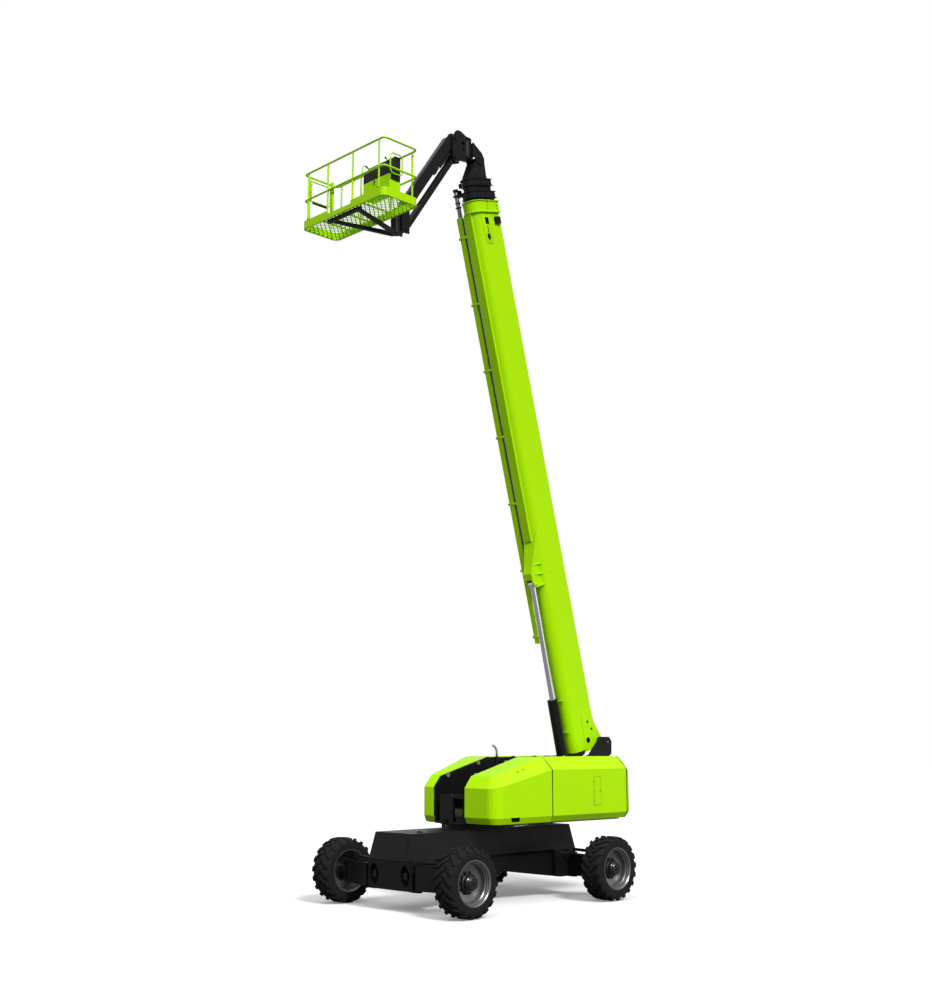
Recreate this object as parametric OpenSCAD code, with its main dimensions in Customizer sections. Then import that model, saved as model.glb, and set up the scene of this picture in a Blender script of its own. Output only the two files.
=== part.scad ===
// Telescopic boom lift with a jib and a work platform, all sizes in millimetres.
// +X is the way the boom points, +Z is up, y = 0 is the mid-plane of the machine.
// The origin is on the ground under the slewing axis.

/* [Wheels] */
// Distance between the front and rear wheel centres
wheelbase = 3860; // [3600:10:4200]
// Distance from the mid-plane to the middle of a tyre
half_track = 1672; // [1640:2:1760]
// Radius of the tyre to the tips of its lugs
tyre_r = 602; // [560:1:620]
// Width of the tyre
tyre_w = 445; // [400:5:480]
// Radius of the rim flange
rim_r = 396; // [370:1:410]
// Height of a tread lug
lug_h = 34; // [20:1:45]
// Number of lugs on each side of a tyre
lug_count = 20; // [14:2:26]
// Radius of the planetary hub
hub_r = 112; // [90:1:130]
// Distance from the middle of the tyre inwards to its steering pivot
kingpin_offset = 236; // [232:1:250]
// Radius of the steering pivot
kingpin_r = 45; // [30:1:60]

/* [Chassis] */
// Length of the chassis over its end boxes
chassis_len = 4480; // [4300:10:4700]
// Width of the chassis at its bottom
chassis_w = 1180; // [1000:10:1240]
// Width of the chassis at its top deck
chassis_top_w = 990; // [800:10:1100]
// Height of the underside of the end boxes
chassis_z = 378; // [340:2:420]
// Height of the edge between the lower and the slanted panels
chassis_edge_z = 906; // [850:2:950]
// Height of the top deck
chassis_top_z = 1372; // [1300:2:1400]
// How far the slanted end panel leans in at its top
chassis_lean = 105; // [60:5:200]
// How far the lower end panel leans in at its foot
chassis_toe = 40; // [20:5:60]
// How much narrower the body is at its edge than at its foot, on each side
chassis_tuck = 37; // [20:1:60]
// Half length of the underside over its two low ends
flat_x = 1730; // [1650:10:1800]
// Half length of the raised underside between the wheels
waist_x = 350; // [250:10:500]
// Half length of the narrow stretch between the end boxes
waist_box_x = 1620; // [1500:10:1640]
// Height of the underside between the end boxes
waist_z = 560; // [500:10:700]
// Half width of the chassis between the end boxes, below the edge
waist_half_w = 470; // [380:10:500]
// Distance of a tie-down recess from the mid-plane
tie_down_y = 420; // [380:5:430]
// Height of the middle of a tie-down recess
tie_down_z = 637; // [620:1:660]
// Height of a tie-down recess
recess_h = 400; // [300:10:420]
// Width of a tie-down recess
recess_w = 250; // [200:10:270]
// Depth of a tie-down recess below the edge of the end panels
recess_depth = 110; // [90:5:140]
// Radius of the hole in a tie-down lug
tie_hole_r = 20; // [15:1:24]

/* [Axle arms] */
// Distance of the arm hinge from the mid-plane
arm_hinge_y = 655; // [645:1:680]
// Distance of the arm hinge in front of the wheel centre
arm_hinge_dx = 165; // [120:5:200]
// Radius of the arm hinge barrel
arm_hinge_r = 62; // [50:1:70]
// Height of the arm box
arm_h = 400; // [340:5:430]
// Width of the arm box
arm_w = 230; // [180:5:260]
// Height of the swing cylinder above the arm
swing_rise = 84; // [80:2:100]
// Radius of the swing cylinder
swing_r_eye = 30; // [26:1:34]

/* [Turntable] */
// Height of the underside of the hoods
hood_z = 1492; // [1470:2:1520]
// Height of the edge above the lower bevel
hood_bevel_z = 1606; // [1580:2:1640]
// Height of the edge below the upper bevel, on the rear box
hood_side_z = 2468; // [2400:2:2500]
// Height of the top of the hoods
hood_top_z = 2704; // [2650:2:2750]
// Height of the nose below its upper bevel
nose_side_z = 2140; // [2050:2:2200]
// Height of the top of the nose
nose_top_z = 2357; // [2280:2:2420]
// Half width of the hoods
hood_half_w = 1245; // [1200:5:1300]
// Width of the upper bevel seen from above
hood_bevel_w = 250; // [180:5:300]
// Width of the upper bevel at the nose seen from above
nose_bevel_w = 170; // [120:5:220]
// Radius of the nose's outer corner seen from above
nose_r = 240; // [180:5:300]
// How far the lower bevel leans in at its foot
foot_in = 55; // [30:5:80]
// Share of its width that the right front cover loses towards the nose
right_taper = 0.6; // [0:0.05:0.65]
// Where the top of the front covers begins to slope down
slope_x = -700; // [-760:10:-500]
// Half width of the slot that the boom lies down in
slot_half_w = 430; // [410:5:450]
// Front of the nose at the slot
nose_x = 746; // [700:2:800]
// Seam between the front and rear covers
seam_x = -810; // [-900:10:-700]
// Rear corner of the straight hood side
hood_rear_x = -3060; // [-3150:10:-3000]
// Rearmost face of the tail cover
tail_x = -3200; // [-3300:10:-3180]
// How far the tail cover narrows at its rear end
tail_in = 60; // [30:5:80]
// Gap between neighbouring covers
seam_gap = 6; // [5:1:10]
// Thickness of the hood skins
skin_t = 12; // [6:1:20]
// Thickness of the turntable plates
plate_t = 30; // [20:1:40]
// Front of the turntable's deck
deck_front = 560; // [500:10:600]
// Rear of the turntable's deck behind the slewing axis
deck_rear = 2900; // [2860:10:2980]
// Half width of the turntable's deck
deck_half_w = 1150; // [1100:5:1160]
// Front end of the plates that carry the boom
carrier_front = -2400; // [-2450:10:-2300]
// Distance of the slot walls from the mid-plane
wall_y = 400; // [395:1:404]
// Thickness of the slot walls
wall_t = 18; // [10:1:20]
// Distance of the slot walls' top below the hoods
wall_drop = 24; // [20:1:40]
// Radius of the cover hinges
hinge_r = 11; // [8:1:11]
// Number of hinges on each rear cover
hinge_count = 3; // [2:1:4]
// Distance between the hinges of a rear cover
hinge_pitch = 650; // [500:10:660]
// Rear end of the engine block
engine_x = -2400; // [-2420:10:-2200]
// Length of the engine block
engine_len = 1200; // [1000:10:1300]
// Inner side of the engine block
engine_y = 520; // [500:10:600]
// Width of the engine block
engine_w = 560; // [450:10:580]
// Height of the engine block
engine_h = 758; // [600:2:800]
// Half width of the counterweight
counterweight_half_w = 1100; // [1000:10:1120]
// Place of the exhaust pipe along the machine
exhaust_x = -950; // [-1200:10:-900]
// Radius of the exhaust pipe
exhaust_r = 22; // [16:1:24]
// Height of the exhaust's straight stretch above the hoods
exhaust_rise = 80; // [60:5:160]
// Angle that the exhaust's end bends through
exhaust_bend = 80; // [30:5:90]

/* [Boom] */
// Boom angle above the horizontal
boom_angle = 75.2; // [60:0.1:78]
// Boom pivot behind the slewing axis
pivot_x = -3440; // [-3500:5:-3380]
// Height of the boom pivot
pivot_z = 3020; // [2950:5:3100]
// Length of the base section from the pivot to its mouth
base_len = 11640; // [11000:10:12000]
// Width of the base section
base_w = 400; // [380:5:430]
// Height of the base section
base_h = 720; // [680:5:760]
// Distance of the top of the boom below the pivot
base_drop = 50; // [30:2:80]
// Wall of the boom sections
boom_wall = 10; // [6:1:12]
// Gap between neighbouring sections on each side
section_gap = 15; // [12:1:18]
// Distance from one section's mouth to the next one's collar
collar_gap = 30; // [20:5:60]
// Length of the collar round the mouth of the base section
base_collar = 255; // [220:5:300]
// Length of the collar of the second section
second_collar = 180; // [150:5:220]
// Length between the second section's mouth and the third's, less the gap
third_collar = 240; // [200:5:280]
// How far the base section reaches behind its pivot
foot_len = 75; // [65:1:80]
// Half width over the hose tray
tray_y = 344; // [335:1:344]
// Start of the hose tray along the boom
tray_start = 2280; // [2100:10:2500]
// Distance between the hose tray's end and the mouth of the base section
tray_back = 260; // [256:2:300]
// Distance between the clamps of the hose tray
clamp_pitch = 1420; // [1200:10:1500]

/* [Lift cylinder] */
// Lower pivot of the lift cylinder behind the slewing axis
lift_x = -2700; // [-2760:5:-2640]
// Height of the lower pivot of the lift cylinder
lift_z = 1900; // [1860:5:1960]
// Distance of the upper pivot along the boom
lift_s = 3551; // [3450:5:3650]
// Distance of the upper pivot below the boom pivot
lift_n = 913; // [900:1:960]
// Radius of the lift barrel
lift_barrel_r = 110; // [95:1:120]
// Radius of the lift rod
lift_rod_r = 55; // [45:1:70]
// Length of the lift barrel from its pivot
lift_barrel_len = 2010; // [1900:10:2100]
// Radius of the eye of the lift rod
lift_eye_r = 72; // [65:1:76]
// Half of the gap between the cheeks of the lift saddle
saddle_in = 75; // [70:1:80]
// Half width over the cheeks of the lift saddle
saddle_out = 115; // [105:1:125]
// Depth of the lift saddle below the boom pivot
saddle_depth = 1016; // [1010:2:1040]

/* [Jib] */
// Levelling pivot beyond the mouth of the third section
head_reach = 440; // [430:5:500]
// Levelling pivot below the boom pivot line
level_n = 262; // [240:2:300]
// Swing axis of the jib in front of the levelling pivot
swing_dx = 262; // [250:2:300]
// Radius of the swing drum
swing_r = 110; // [90:2:120]
// Depth of the swing drum below the levelling pivot
drum_low = 40; // [30:2:60]
// Height of the swing drum above the levelling pivot
drum_high = 340; // [320:2:380]
// Upper jib pivot in front of the swing axis
jib_dx = 416; // [380:2:460]
// Upper jib pivot above the levelling pivot
jib_dz = 236; // [200:2:280]
// Distance between the upper and the lower jib pivots
jib_rise = 420; // [380:5:450]
// Jib angle below the horizontal
jib_angle = 56; // [40:0.5:60]
// Length of the jib between its pivots
jib_len = 2390; // [2200:10:2600]
// Height of the jib beam above its pivot line
jib_up = 150; // [120:5:180]
// Depth of the jib beam below its pivot line
jib_down = 54; // [45:1:60]
// Width of the jib beam
jib_w = 160; // [140:5:180]

/* [Platform] */
// Length of the platform across the machine
platform_len = 2440; // [2300:10:2500]
// Width of the platform along the machine
platform_w = 880; // [800:10:950]
// Height of the top rail above the bottom of the toe board
rail_h = 1158; // [1100:2:1200]
// Height of the middle rail above the bottom of the toe board
mid_rail_h = 590; // [500:5:650]
// Height of the toe board
toe_h = 160; // [120:5:200]
// Radius of the rail tubes
rail_r = 20; // [15:1:24]
// Bottom of the platform below the jib's lower end pivot
platform_drop = 58; // [40:2:100]
// Rear edge of the platform in front of the jib's end pivots
platform_dx = 690; // [650:5:760]
// Radius of the platform's corners
rail_bend = 110; // [100:5:140]
// Height of the console above the bottom of the toe board
console_z = 420; // [400:10:430]
// Height of the console
console_h = 700; // [600:10:720]
// Width of the console across the machine
console_w = 770; // [600:10:780]

/* [Hidden] */
eps = 0.3;
move_gap = 6;
wheel_x = wheelbase / 2;
kingpin_y = half_track - kingpin_offset;
base_top = -base_drop;
lip = 8;
cover_low_w = 450;
cover_high_w = 415;
lug_t = 90;
lug_half = 60;
swing_pin_r = 16;
lock_x = nose_x + 4;
lock_y = -150;
lock_plate_t = 10;
lock_box_x = 460;
lock_box_y = -280;
lock_box_w = 350;
lock_box_len = 255;
lock_box_h = 520;
lock_box_r = 90;
pocket_x = 75;
hatch_x = -2250;
hatch_z = 1770;
hinge_len = 60;
hinge_first_x = hood_rear_x + 250;
cover_edge = hinge_r + move_gap;
wall_rear_x = hood_rear_x + 30;
lift_pin_r = 36;
pad_r = 45;

// ---------- helpers ----------

// A round bar along Y, from y0 to y1
module bar_y(r, y0, y1) {
    translate([0, y0, 0]) rotate([-90, 0, 0]) cylinder(h = y1 - y0, r = r, $fn = 48);
}

// A slab whose outline lies in the X-Z plane, from y0 to y1
module slab_y(points, y0, y1) {
    translate([0, y1, 0]) rotate([90, 0, 0]) linear_extrude(y1 - y0) polygon(points);
}

// A box given by its two corners
module box(a, b) {
    translate(a) cube(b - a);
}

// The same shape on both sides of the mid-plane
module both_sides() {
    children();
    mirror([0, 1, 0]) children();
}

// Places a corner's pieces, drawn for the front left wheel
module corner(front, left) {
    scale_x = front ? 0 : 1;
    scale_y = left ? 0 : 1;
    mirror([scale_x, 0, 0]) mirror([0, scale_y, 0]) children();
}

// The boom's own frame: X along the boom from its pivot, Z towards its top
module in_boom() {
    translate([pivot_x, 0, pivot_z]) rotate([0, -boom_angle, 0]) children();
}

// A point of the boom's frame, given in the machine's frame
function boom_point(s, n) = [
    pivot_x + s * cos(boom_angle) - n * sin(boom_angle),
    0,
    pivot_z + s * sin(boom_angle) + n * cos(boom_angle)
];

// ---------- chassis ----------

// Clear box of an end, seen from the side, from its underside to the top deck
module chassis_side() {
    half = chassis_len / 2;
    low = half - chassis_toe;
    top = half - chassis_lean;
    slab_y([[low, chassis_z], [half, chassis_edge_z], [top, chassis_top_z], [-top, chassis_top_z],
        [-half, chassis_edge_z], [-low, chassis_z], [-flat_x, chassis_z], [-waist_x, waist_z],
        [waist_x, waist_z], [flat_x, chassis_z]], -chassis_w, chassis_w);
}

// The same body seen from its end, narrowing towards the deck
module chassis_front() {
    edge_w = chassis_w / 2 - chassis_tuck;
    translate([-chassis_len, 0, 0]) rotate([90, 0, 90]) linear_extrude(2 * chassis_len)
        polygon([[-chassis_w / 2, chassis_z], [chassis_w / 2, chassis_z], [edge_w, chassis_edge_z],
            [chassis_top_w / 2, chassis_top_z], [-chassis_top_w / 2, chassis_top_z],
            [-edge_w, chassis_edge_z]]);
}

// Pointed oval recess around a tie-down lug
module tie_down_recess(depth) {
    arc_r = (recess_h * recess_h / 4 + recess_w * recess_w / 4) / recess_w;
    translate([chassis_len / 2 - depth, 0, 0]) rotate([90, 0, 90]) linear_extrude(depth + 50)
        intersection() {
            translate([tie_down_y - recess_w / 2 + arc_r, tie_down_z]) circle(r = arc_r, $fn = 96);
            translate([tie_down_y + recess_w / 2 - arc_r, tie_down_z]) circle(r = arc_r, $fn = 96);
        }
}

// Cover plate on the slanted panel, and the lip under it
module end_cover() {
    rise = chassis_top_z - chassis_edge_z;
    slope = atan(chassis_lean / rise);
    r = 40;
    translate([chassis_len / 2, 0, chassis_edge_z]) rotate([0, -slope, 0])
        translate([-1, 0, 0]) rotate([90, 0, 90]) linear_extrude(7) union() {
            polygon([[-cover_low_w, 100], [cover_low_w, 100], [cover_high_w, rise - 62],
                [-cover_high_w, rise - 62]]);
            polygon([[-cover_low_w + r, 100 - r], [cover_low_w - r, 100 - r],
                [cover_high_w - r, rise - 62 + r],
                [-cover_high_w + r, rise - 62 + r]]);
            for (side = [-1, 1]) {
                translate([side * (cover_low_w - r), 100]) circle(r = r, $fn = 48);
                translate([side * (cover_high_w - r), rise - 62]) circle(r = r, $fn = 48);
            }
        }
    edge_w = chassis_w / 2 - chassis_tuck + lip;
    box([chassis_len / 2 - 330, -edge_w, chassis_edge_z - lip],
        [chassis_len / 2 + lip, edge_w, chassis_edge_z]);
}

module chassis_end() {
    end_cover();
    // hinge ears of the two axle arms, and the ear of each swing cylinder
    for (side = [-1, 1]) {
        for (z = [arm_low - ear_t - eps, arm_high + eps]) {
            translate([arm_hinge_x, side * arm_hinge_y, z])
                cylinder(h = ear_t, r = arm_hinge_r, $fn = 32);
            translate([arm_hinge_x, side * (waist_half_w + arm_hinge_y) / 2, z + ear_t / 2])
                cube([2 * arm_hinge_r, arm_hinge_y - waist_half_w, ear_t], center = true);
        }
        translate([swing_in[0], side * swing_in[1], arm_high + ear_t])
            cylinder(h = swing_z - arm_high - ear_t + swing_r_eye, r = swing_pin_r, $fn = 32);
    }
}

module chassis() {
    color([0.1, 0.1, 0.11]) difference() {
        union() {
            difference() {
                intersection() {
                    chassis_side();
                    chassis_front();
                }
                both_sides() box([-waist_box_x, waist_half_w, 0], [waist_box_x, chassis_w, chassis_edge_z]);
            }
            chassis_end();
            mirror([1, 0, 0]) chassis_end();
            // plate that the turntable's lock pin stands over
            translate([lock_x, lock_y, chassis_top_z - 1]) cylinder(h = lock_plate_t + 1, r = 70, $fn = 48);
        }
        for (front = [true, false], left = [true, false])
            corner(front, left) tie_down_recess(recess_depth);
    }
}

// Lashing lugs in the recesses of both ends
module tie_downs() {
    floor_x = chassis_len / 2 - recess_depth;
    color([0.12, 0.12, 0.13]) for (front = [true, false], left = [true, false])
        corner(front, left) difference() {
            box([floor_x + eps, tie_down_y - lug_t / 2, tie_down_z - lug_half], [floor_x + recess_depth - 25,
                tie_down_y + lug_t / 2, tie_down_z + lug_half]);
            translate([floor_x + (recess_depth - 25) / 2, 0, tie_down_z])
                bar_y(tie_hole_r, tie_down_y - lug_t, tie_down_y + lug_t);
        }
}

arm_hinge_x = wheel_x + arm_hinge_dx;
arm_low = tyre_r - arm_h / 2;
arm_high = tyre_r + arm_h / 2;
fork_t = 40;
ear_t = 36;
swing_in = [arm_hinge_x + 15, arm_hinge_y - 5];
swing_out = [arm_hinge_x - 125, arm_hinge_y + 595];
swing_z = arm_high + swing_rise;
fork_gap_low = arm_low + fork_t;
fork_gap_high = arm_high - fork_t;

// Swing-out arm from its hinge to the steering pivot
module axle_arm() {
    reach = [wheel_x - arm_hinge_x, kingpin_y - arm_hinge_y];
    arm_len = norm(reach);
    // hinge barrel
    translate([arm_hinge_x, arm_hinge_y, arm_low])
        cylinder(h = arm_h, r = arm_hinge_r, $fn = 48);
    // box between the hinge and the fork
    translate([arm_hinge_x, arm_hinge_y, 0])
        rotate([0, 0, atan2(reach[1], reach[0])]) {
            box([0, -arm_w / 2, arm_low], [arm_len - 150, arm_w / 2, arm_high]);
            for (z = [arm_low, arm_high - fork_t])
                translate([0, 0, z]) difference() {
                    union() {
                        box([arm_len - 151, -arm_w / 2, 0], [arm_len, arm_w / 2, fork_t]);
                        translate([arm_len, 0, 0]) cylinder(h = fork_t, r = arm_w / 2, $fn = 48);
                    }
                    translate([arm_len, 0, -1])
                        cylinder(h = fork_t + 2, r = kingpin_r + 0.1, $fn = 48);
                }
        }
    // pin of the swing cylinder
    translate([swing_out[0], swing_out[1], arm_high - 1])
        cylinder(h = swing_z - arm_high + swing_r_eye + 1, r = swing_pin_r, $fn = 32);
}

module axle_arms() {
    color([0.09, 0.09, 0.1]) for (front = [true, false], left = [true, false])
        corner(front, left) axle_arm();
}

// Cylinder that swings an arm out, lying above it
module swing_cylinder() {
    reach = swing_out - swing_in;
    translate([swing_in[0], swing_in[1], swing_z]) rotate([0, 0, atan2(reach[1], reach[0])]) {
        difference() {
            union() {
                for (x = [0, norm(reach)])
                    translate([x, 0, 0])
                        cylinder(h = 2 * swing_r_eye - 8, r = swing_r_eye + 4, center = true, $fn = 48);
                rotate([0, 90, 0]) cylinder(h = norm(reach), r = swing_r_eye - 14, $fn = 32);
                translate([swing_r_eye, 0, 0]) rotate([0, 90, 0])
                    cylinder(h = 0.6 * norm(reach), r = swing_r_eye, $fn = 48);
            }
            for (x = [0, norm(reach)])
                translate([x, 0, -100]) cylinder(h = 200, r = swing_pin_r + eps, $fn = 32);
        }
    }
}

module swing_cylinders() {
    color([0.13, 0.13, 0.14]) for (front = [true, false], left = [true, false])
        corner(front, left) swing_cylinder();
}

// Steered knuckle with its kingpin and the drive motor that carries the hub
module knuckle() {
    color([0.08, 0.08, 0.09]) translate([wheel_x, kingpin_y, 0]) {
        translate([0, 0, arm_low - 10]) cylinder(h = arm_h + 20, r = kingpin_r, $fn = 48);
        translate([0, 0, fork_gap_low + eps])
            cylinder(h = fork_gap_high - fork_gap_low - 2 * eps, r = 100, $fn = 48);
        translate([0, 0, tyre_r]) bar_y(140, 0, hub_back - kingpin_y - eps);
    }
}

hub_back = half_track - 20;
hub_disc_y = half_track + 30;
hub_end_y = half_track + 200;

// Rim, wheel disc and hub, turned about the wheel axis
module rim() {
    w = tyre_w / 2;
    hub_end = hub_end_y - half_track;
    translate([wheel_x, half_track, tyre_r]) rotate([-90, 0, 0]) {
        color([0.72, 0.73, 0.74]) rotate_extrude($fn = 96)
            polygon([[rim_r, w], [rim_r, w - 26], [rim_r - 20, w - 34], [rim_r - 20, 60 - w],
                [rim_r, 34 - w], [rim_r, -w], [rim_r - 14, -w], [rim_r - 30, 12 - w], [rim_r - 42, 44 - w],
                [rim_r - 76, 0], [150, -6], [150, 12], [200, 24], [rim_r - 70, 44], [rim_r - 60, w - 92],
                [rim_r - 46, w - 82], [rim_r - 46, w - 48], [rim_r - 30, w - 40], [rim_r - 30, w - 16],
                [rim_r - 14, w]]);
        color([0.06, 0.06, 0.07]) rotate_extrude($fn = 64)
            polygon([[0, hub_back - half_track], [175, hub_back - half_track], [175, 14], [196, 16],
                [196, 30],
                [152, 34], [152, 62], [hub_r + 20, 74], [hub_r + 20, hub_end - 56], [hub_r, hub_end - 40],
                [hub_r, hub_end - 16], [hub_r - 16, hub_end], [0, hub_end]]);
    }
}

// Angle and depth of the four points of a pitch, in pitches and in lug heights
tread_steps = [[0, 0], [0.42, 0], [0.5, 1], [0.92, 1]];

// Tyre with slanted lugs. Each tread ring has four points a pitch: the start and the end of a lug,
// then the start and the end of the gap after it.
function tread_ring(w, r, turn) = [for (k = [0:lug_count - 1], p = tread_steps)
    let (a = 90 + 360 * (k + p[0] + turn) / lug_count, q = r - p[1] * lug_h)
    [q * cos(a), q * sin(a), w]];

function plain_ring(w, r, n) = [for (k = [0:n - 1]) let (a = 90 + 360 * k / n) [r * cos(a), r * sin(a), w]];

// Triangles between two neighbouring rings of as many points, which start at i and at j
function even_strip(i, j, n) = [for (k = [0:n - 1]) let (m = (k + 1) % n)
    each [[i + k, j + k, j + m], [i + k, j + m, i + m]]];

// Triangles between a ring of 2n points from i and one of n points from j
function half_strip(i, j, n) = [for (k = [0:n - 1])
    let (a = i + 2 * k, b = a + 1, c = i + (2 * k + 2) % (2 * n),
    p = j + k, q = j + (k + 1) % n) each [[a, p, b], [b, p, q], [b, q, c]]];

function turned(faces) = [for (f = faces) [f[0], f[2], f[1]]];

module tyre() {
    w = tyre_w / 2;
    n = 4 * lug_count;
    half = n / 2;
    bead_r = (rim_r + eps) / cos(180 / half);
    sides = [[w - 8, bead_r], [w, rim_r + 40], [w - 6, tyre_r - lug_h - 66]];
    treads = [[w - 18, tyre_r - 12, 0.5], [w / 2, tyre_r - 2, 0.28], [w / 6, tyre_r, 0]];
    rings = concat([for (s = sides) plain_ring(-s[0], s[1], half)],
        [for (t = treads) tread_ring(-t[0], t[1], t[2] + 0.5)],
        [for (k = [2:-1:0]) tread_ring(treads[k][0], treads[k][1], treads[k][2])],
        [for (k = [2:-1:0]) plain_ring(sides[k][0], sides[k][1], half)]);
    starts = [0, half, 2 * half, 3 * half, 3 * half + n, 3 * half + 2 * n, 3 * half + 3 * n, 3 * half + 4 * n,
        3 * half + 5 * n, 3 * half + 6 * n, 4 * half + 6 * n, 5 * half + 6 * n];
    faces = concat(even_strip(starts[0], starts[1], half), even_strip(starts[1], starts[2], half),
        turned(half_strip(starts[3], starts[2], half)),
        [for (k = [3:7]) each even_strip(starts[k], starts[k + 1], n)],
        half_strip(starts[8], starts[9], half),
        even_strip(starts[9], starts[10], half), even_strip(starts[10], starts[11], half),
        even_strip(starts[11], starts[0], half));
    color([0.05, 0.05, 0.05]) translate([wheel_x, half_track, tyre_r]) rotate([-90, 0, 0])
        polyhedron(points = [for (ring = rings) each ring], faces = faces, convexity = 8);
}

// ---------- turntable ----------

ring_r = 640;
deck_low = 1470;

module slew_ring() {
    color([0.06, 0.06, 0.06]) translate([0, 0, chassis_top_z])
        cylinder(h = deck_low - chassis_top_z - eps, r = ring_r, $fn = 96);
}

// Deck, slot walls and the plates that carry the boom and its lift cylinder
module turntable() {
    color([0.07, 0.07, 0.08]) {
        translate([0, 0, deck_low]) linear_extrude(hood_z - eps - deck_low)
            polygon([[-deck_rear, -deck_half_w], [slope_x, -deck_half_w],
                [deck_front, -tapered_y(deck_front, deck_half_w, right_taper)],
                [deck_front, deck_half_w], [-deck_rear, deck_half_w]]);
        boom_carriers();
        both_sides() slot_wall();
        // cross box that carries the lift cylinder, and its two ears
        box([lift_x - 180, -ear_y - 1, hood_z - 1], [lift_x + 180, ear_y + 1, lift_z - 200]);
        both_sides() slab_y([[lift_x - 120, lift_z - 210], [lift_x + 120, lift_z - 210],
            [lift_x + 90, lift_z + 90], [lift_x - 90, lift_z + 90]], lift_barrel_r + 20, lift_barrel_r + 60);
        nose_frame();
        cover_hinges();
    }
}

module boom_carriers() {
    difference() {
        both_sides() slab_y([[carrier_front, hood_z - 1], [tail_x + 50, hood_z - 1], [tail_x + 50, 2400],
            [-3330, 2560], [pivot_x - 217, 2750], [pivot_x - 225, pivot_z - 7], [pivot_x - 143, pivot_z + 80],
            [pivot_x + 140, pivot_z + 80], [-2920, hood_top_z + 22], [carrier_front, hood_top_z - 60]],
            ear_y, ear_y + plate_t);
        translate([pivot_x, 0, pivot_z]) bar_y(pivot_r + 0.05, -hood_half_w, hood_half_w);
        translate([pivot_x - 124, 0, pivot_z - 26]) bar_y(24, -hood_half_w, hood_half_w);
    }
}

// Black plate just inside the slot edge of the hoods
module slot_wall() {
    slab_y([[wall_rear_x, hood_z - 1], [nose_x - 26, hood_z - 1], [nose_x - 22, nose_side_z - 12],
        [nose_x - nose_bevel_w - 12, nose_top_z - 18], [slope_x, hood_top_z - wall_drop],
        [wall_rear_x, hood_top_z - wall_drop]], wall_y, wall_y + wall_t);
    // ledge that the front cover's top is bolted to
    x0 = slope_x + 60;
    x1 = slope_x + 500;
    slab_y([[x0, cover_top_z(x0) - skin_t - 32], [x1, cover_top_z(x1) - skin_t - 32],
        [x1, cover_top_z(x1) - skin_t - eps], [x0, cover_top_z(x0) - skin_t - eps]],
        wall_y + wall_t - 1, slot_half_w + 45);
    // stiffeners on its inner face
    for (x = [-1500, -700, 100])
        box([x, wall_y - 22, hood_z - 1], [x + 16, wall_y + 1, nose_top_z - 60]);
}

// What closes the slot at the nose: a low cross plate, the lock housing and its bar and box
module nose_frame() {
    box([deck_front - 1, -wall_y - 1, deck_low], [nose_x - 20, wall_y + 1, hood_z + 20]);
    translate([lock_box_x, lock_box_y, hood_z]) rotate([90, 0, 90]) linear_extrude(lock_box_len) {
        translate([0, -1]) square([lock_box_w, lock_box_h - lock_box_r]);
        translate([lock_box_r, 0]) square([lock_box_w - 2 * lock_box_r, lock_box_h]);
        for (y = [lock_box_r, lock_box_w - lock_box_r])
            translate([y, lock_box_h - lock_box_r]) circle(r = lock_box_r, $fn = 48);
    }
    box([lock_box_x + 140, lock_box_y + lock_box_w - 1, hood_z + 450],
        [lock_box_x + 240, wall_y + 1, hood_z + 530]);
    box([lock_box_x + 100, 130, hood_z + 100], [nose_x - 40, 370, hood_z + 275]);
    box([lock_box_x + 100, 130, hood_z + 10], [nose_x - 60, 370, hood_z + 101]);
    // lock pin over the chassis
    translate([lock_x, lock_y, chassis_top_z + lock_plate_t + move_gap])
        cylinder(h = hood_z - chassis_top_z, r = 28, $fn = 32);
    box([nose_x - 40, lock_y - 60, deck_low], [lock_x + 34, lock_y + 60, hood_z + 60]);
}

// Fixed leaves of the cover hinges, between the leaves on the covers
module cover_hinges() {
    for (k = [0:hinge_count - 1]) both_sides() {
        x = hinge_first_x + k * hinge_pitch;
        translate([x, slot_half_w, hood_top_z]) rotate([0, 90, 0])
            cylinder(h = hinge_len, r = hinge_r, $fn = 32);
        box([x, wall_y + wall_t - 1, hood_top_z - wall_drop - 20],
            [x + hinge_len, wall_y + wall_t + 5, hood_top_z - 4]);
        box([x, wall_y + 1, hood_top_z - wall_drop - 20], [x + hinge_len, wall_y + wall_t, hood_top_z - 4]);
    }
}

// Pads that the lowered boom is guided by
module rest_pads() {
    color([0.35, 0.35, 0.36]) both_sides() for (p = pad_points)
        translate([p[0], 0, p[1]]) bar_y(pad_r, wall_y - 28, wall_y - eps);
}

ear_y = 350;
pivot_r = 60;

module boom_pivot_pin() {
    color([0.2, 0.2, 0.21]) translate([pivot_x, 0, pivot_z])
        bar_y(pivot_r, -ear_y - plate_t - 15, ear_y + plate_t + 15);
}

module engine_block() {
    color([0.12, 0.12, 0.12]) box([engine_x, engine_y, hood_z + eps],
        [engine_x + engine_len, engine_y + engine_w, hood_z + engine_h]);
}

module counterweight() {
    top_z = hood_side_z - 120;
    color([0.1, 0.1, 0.1]) {
        both_sides() box([tail_x + 30 + eps, ear_y + plate_t + eps, hood_z + 60],
            [hood_rear_x - 5, counterweight_half_w, top_z]);
        box([tail_x + 30 + eps, eps - ear_y, hood_z + 60], [hood_rear_x - 5, ear_y - eps, slot_floor_z]);
    }
}

slot_floor_z = 2120;

// Height of the slot walls' top edge at x, and the middles of the pads on them
function wall_top_z(x) = cover_top_z(x) - wall_drop;
pad_points = [for (x = [400, -430]) [x, wall_top_z(x) - 14]];

// Height of the edge under the upper bevel of the front cover
function shoulder_z(x) = hood_side_z + (x - seam_x) * (nose_side_z - hood_side_z) / (nose_x - seam_x);

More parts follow.
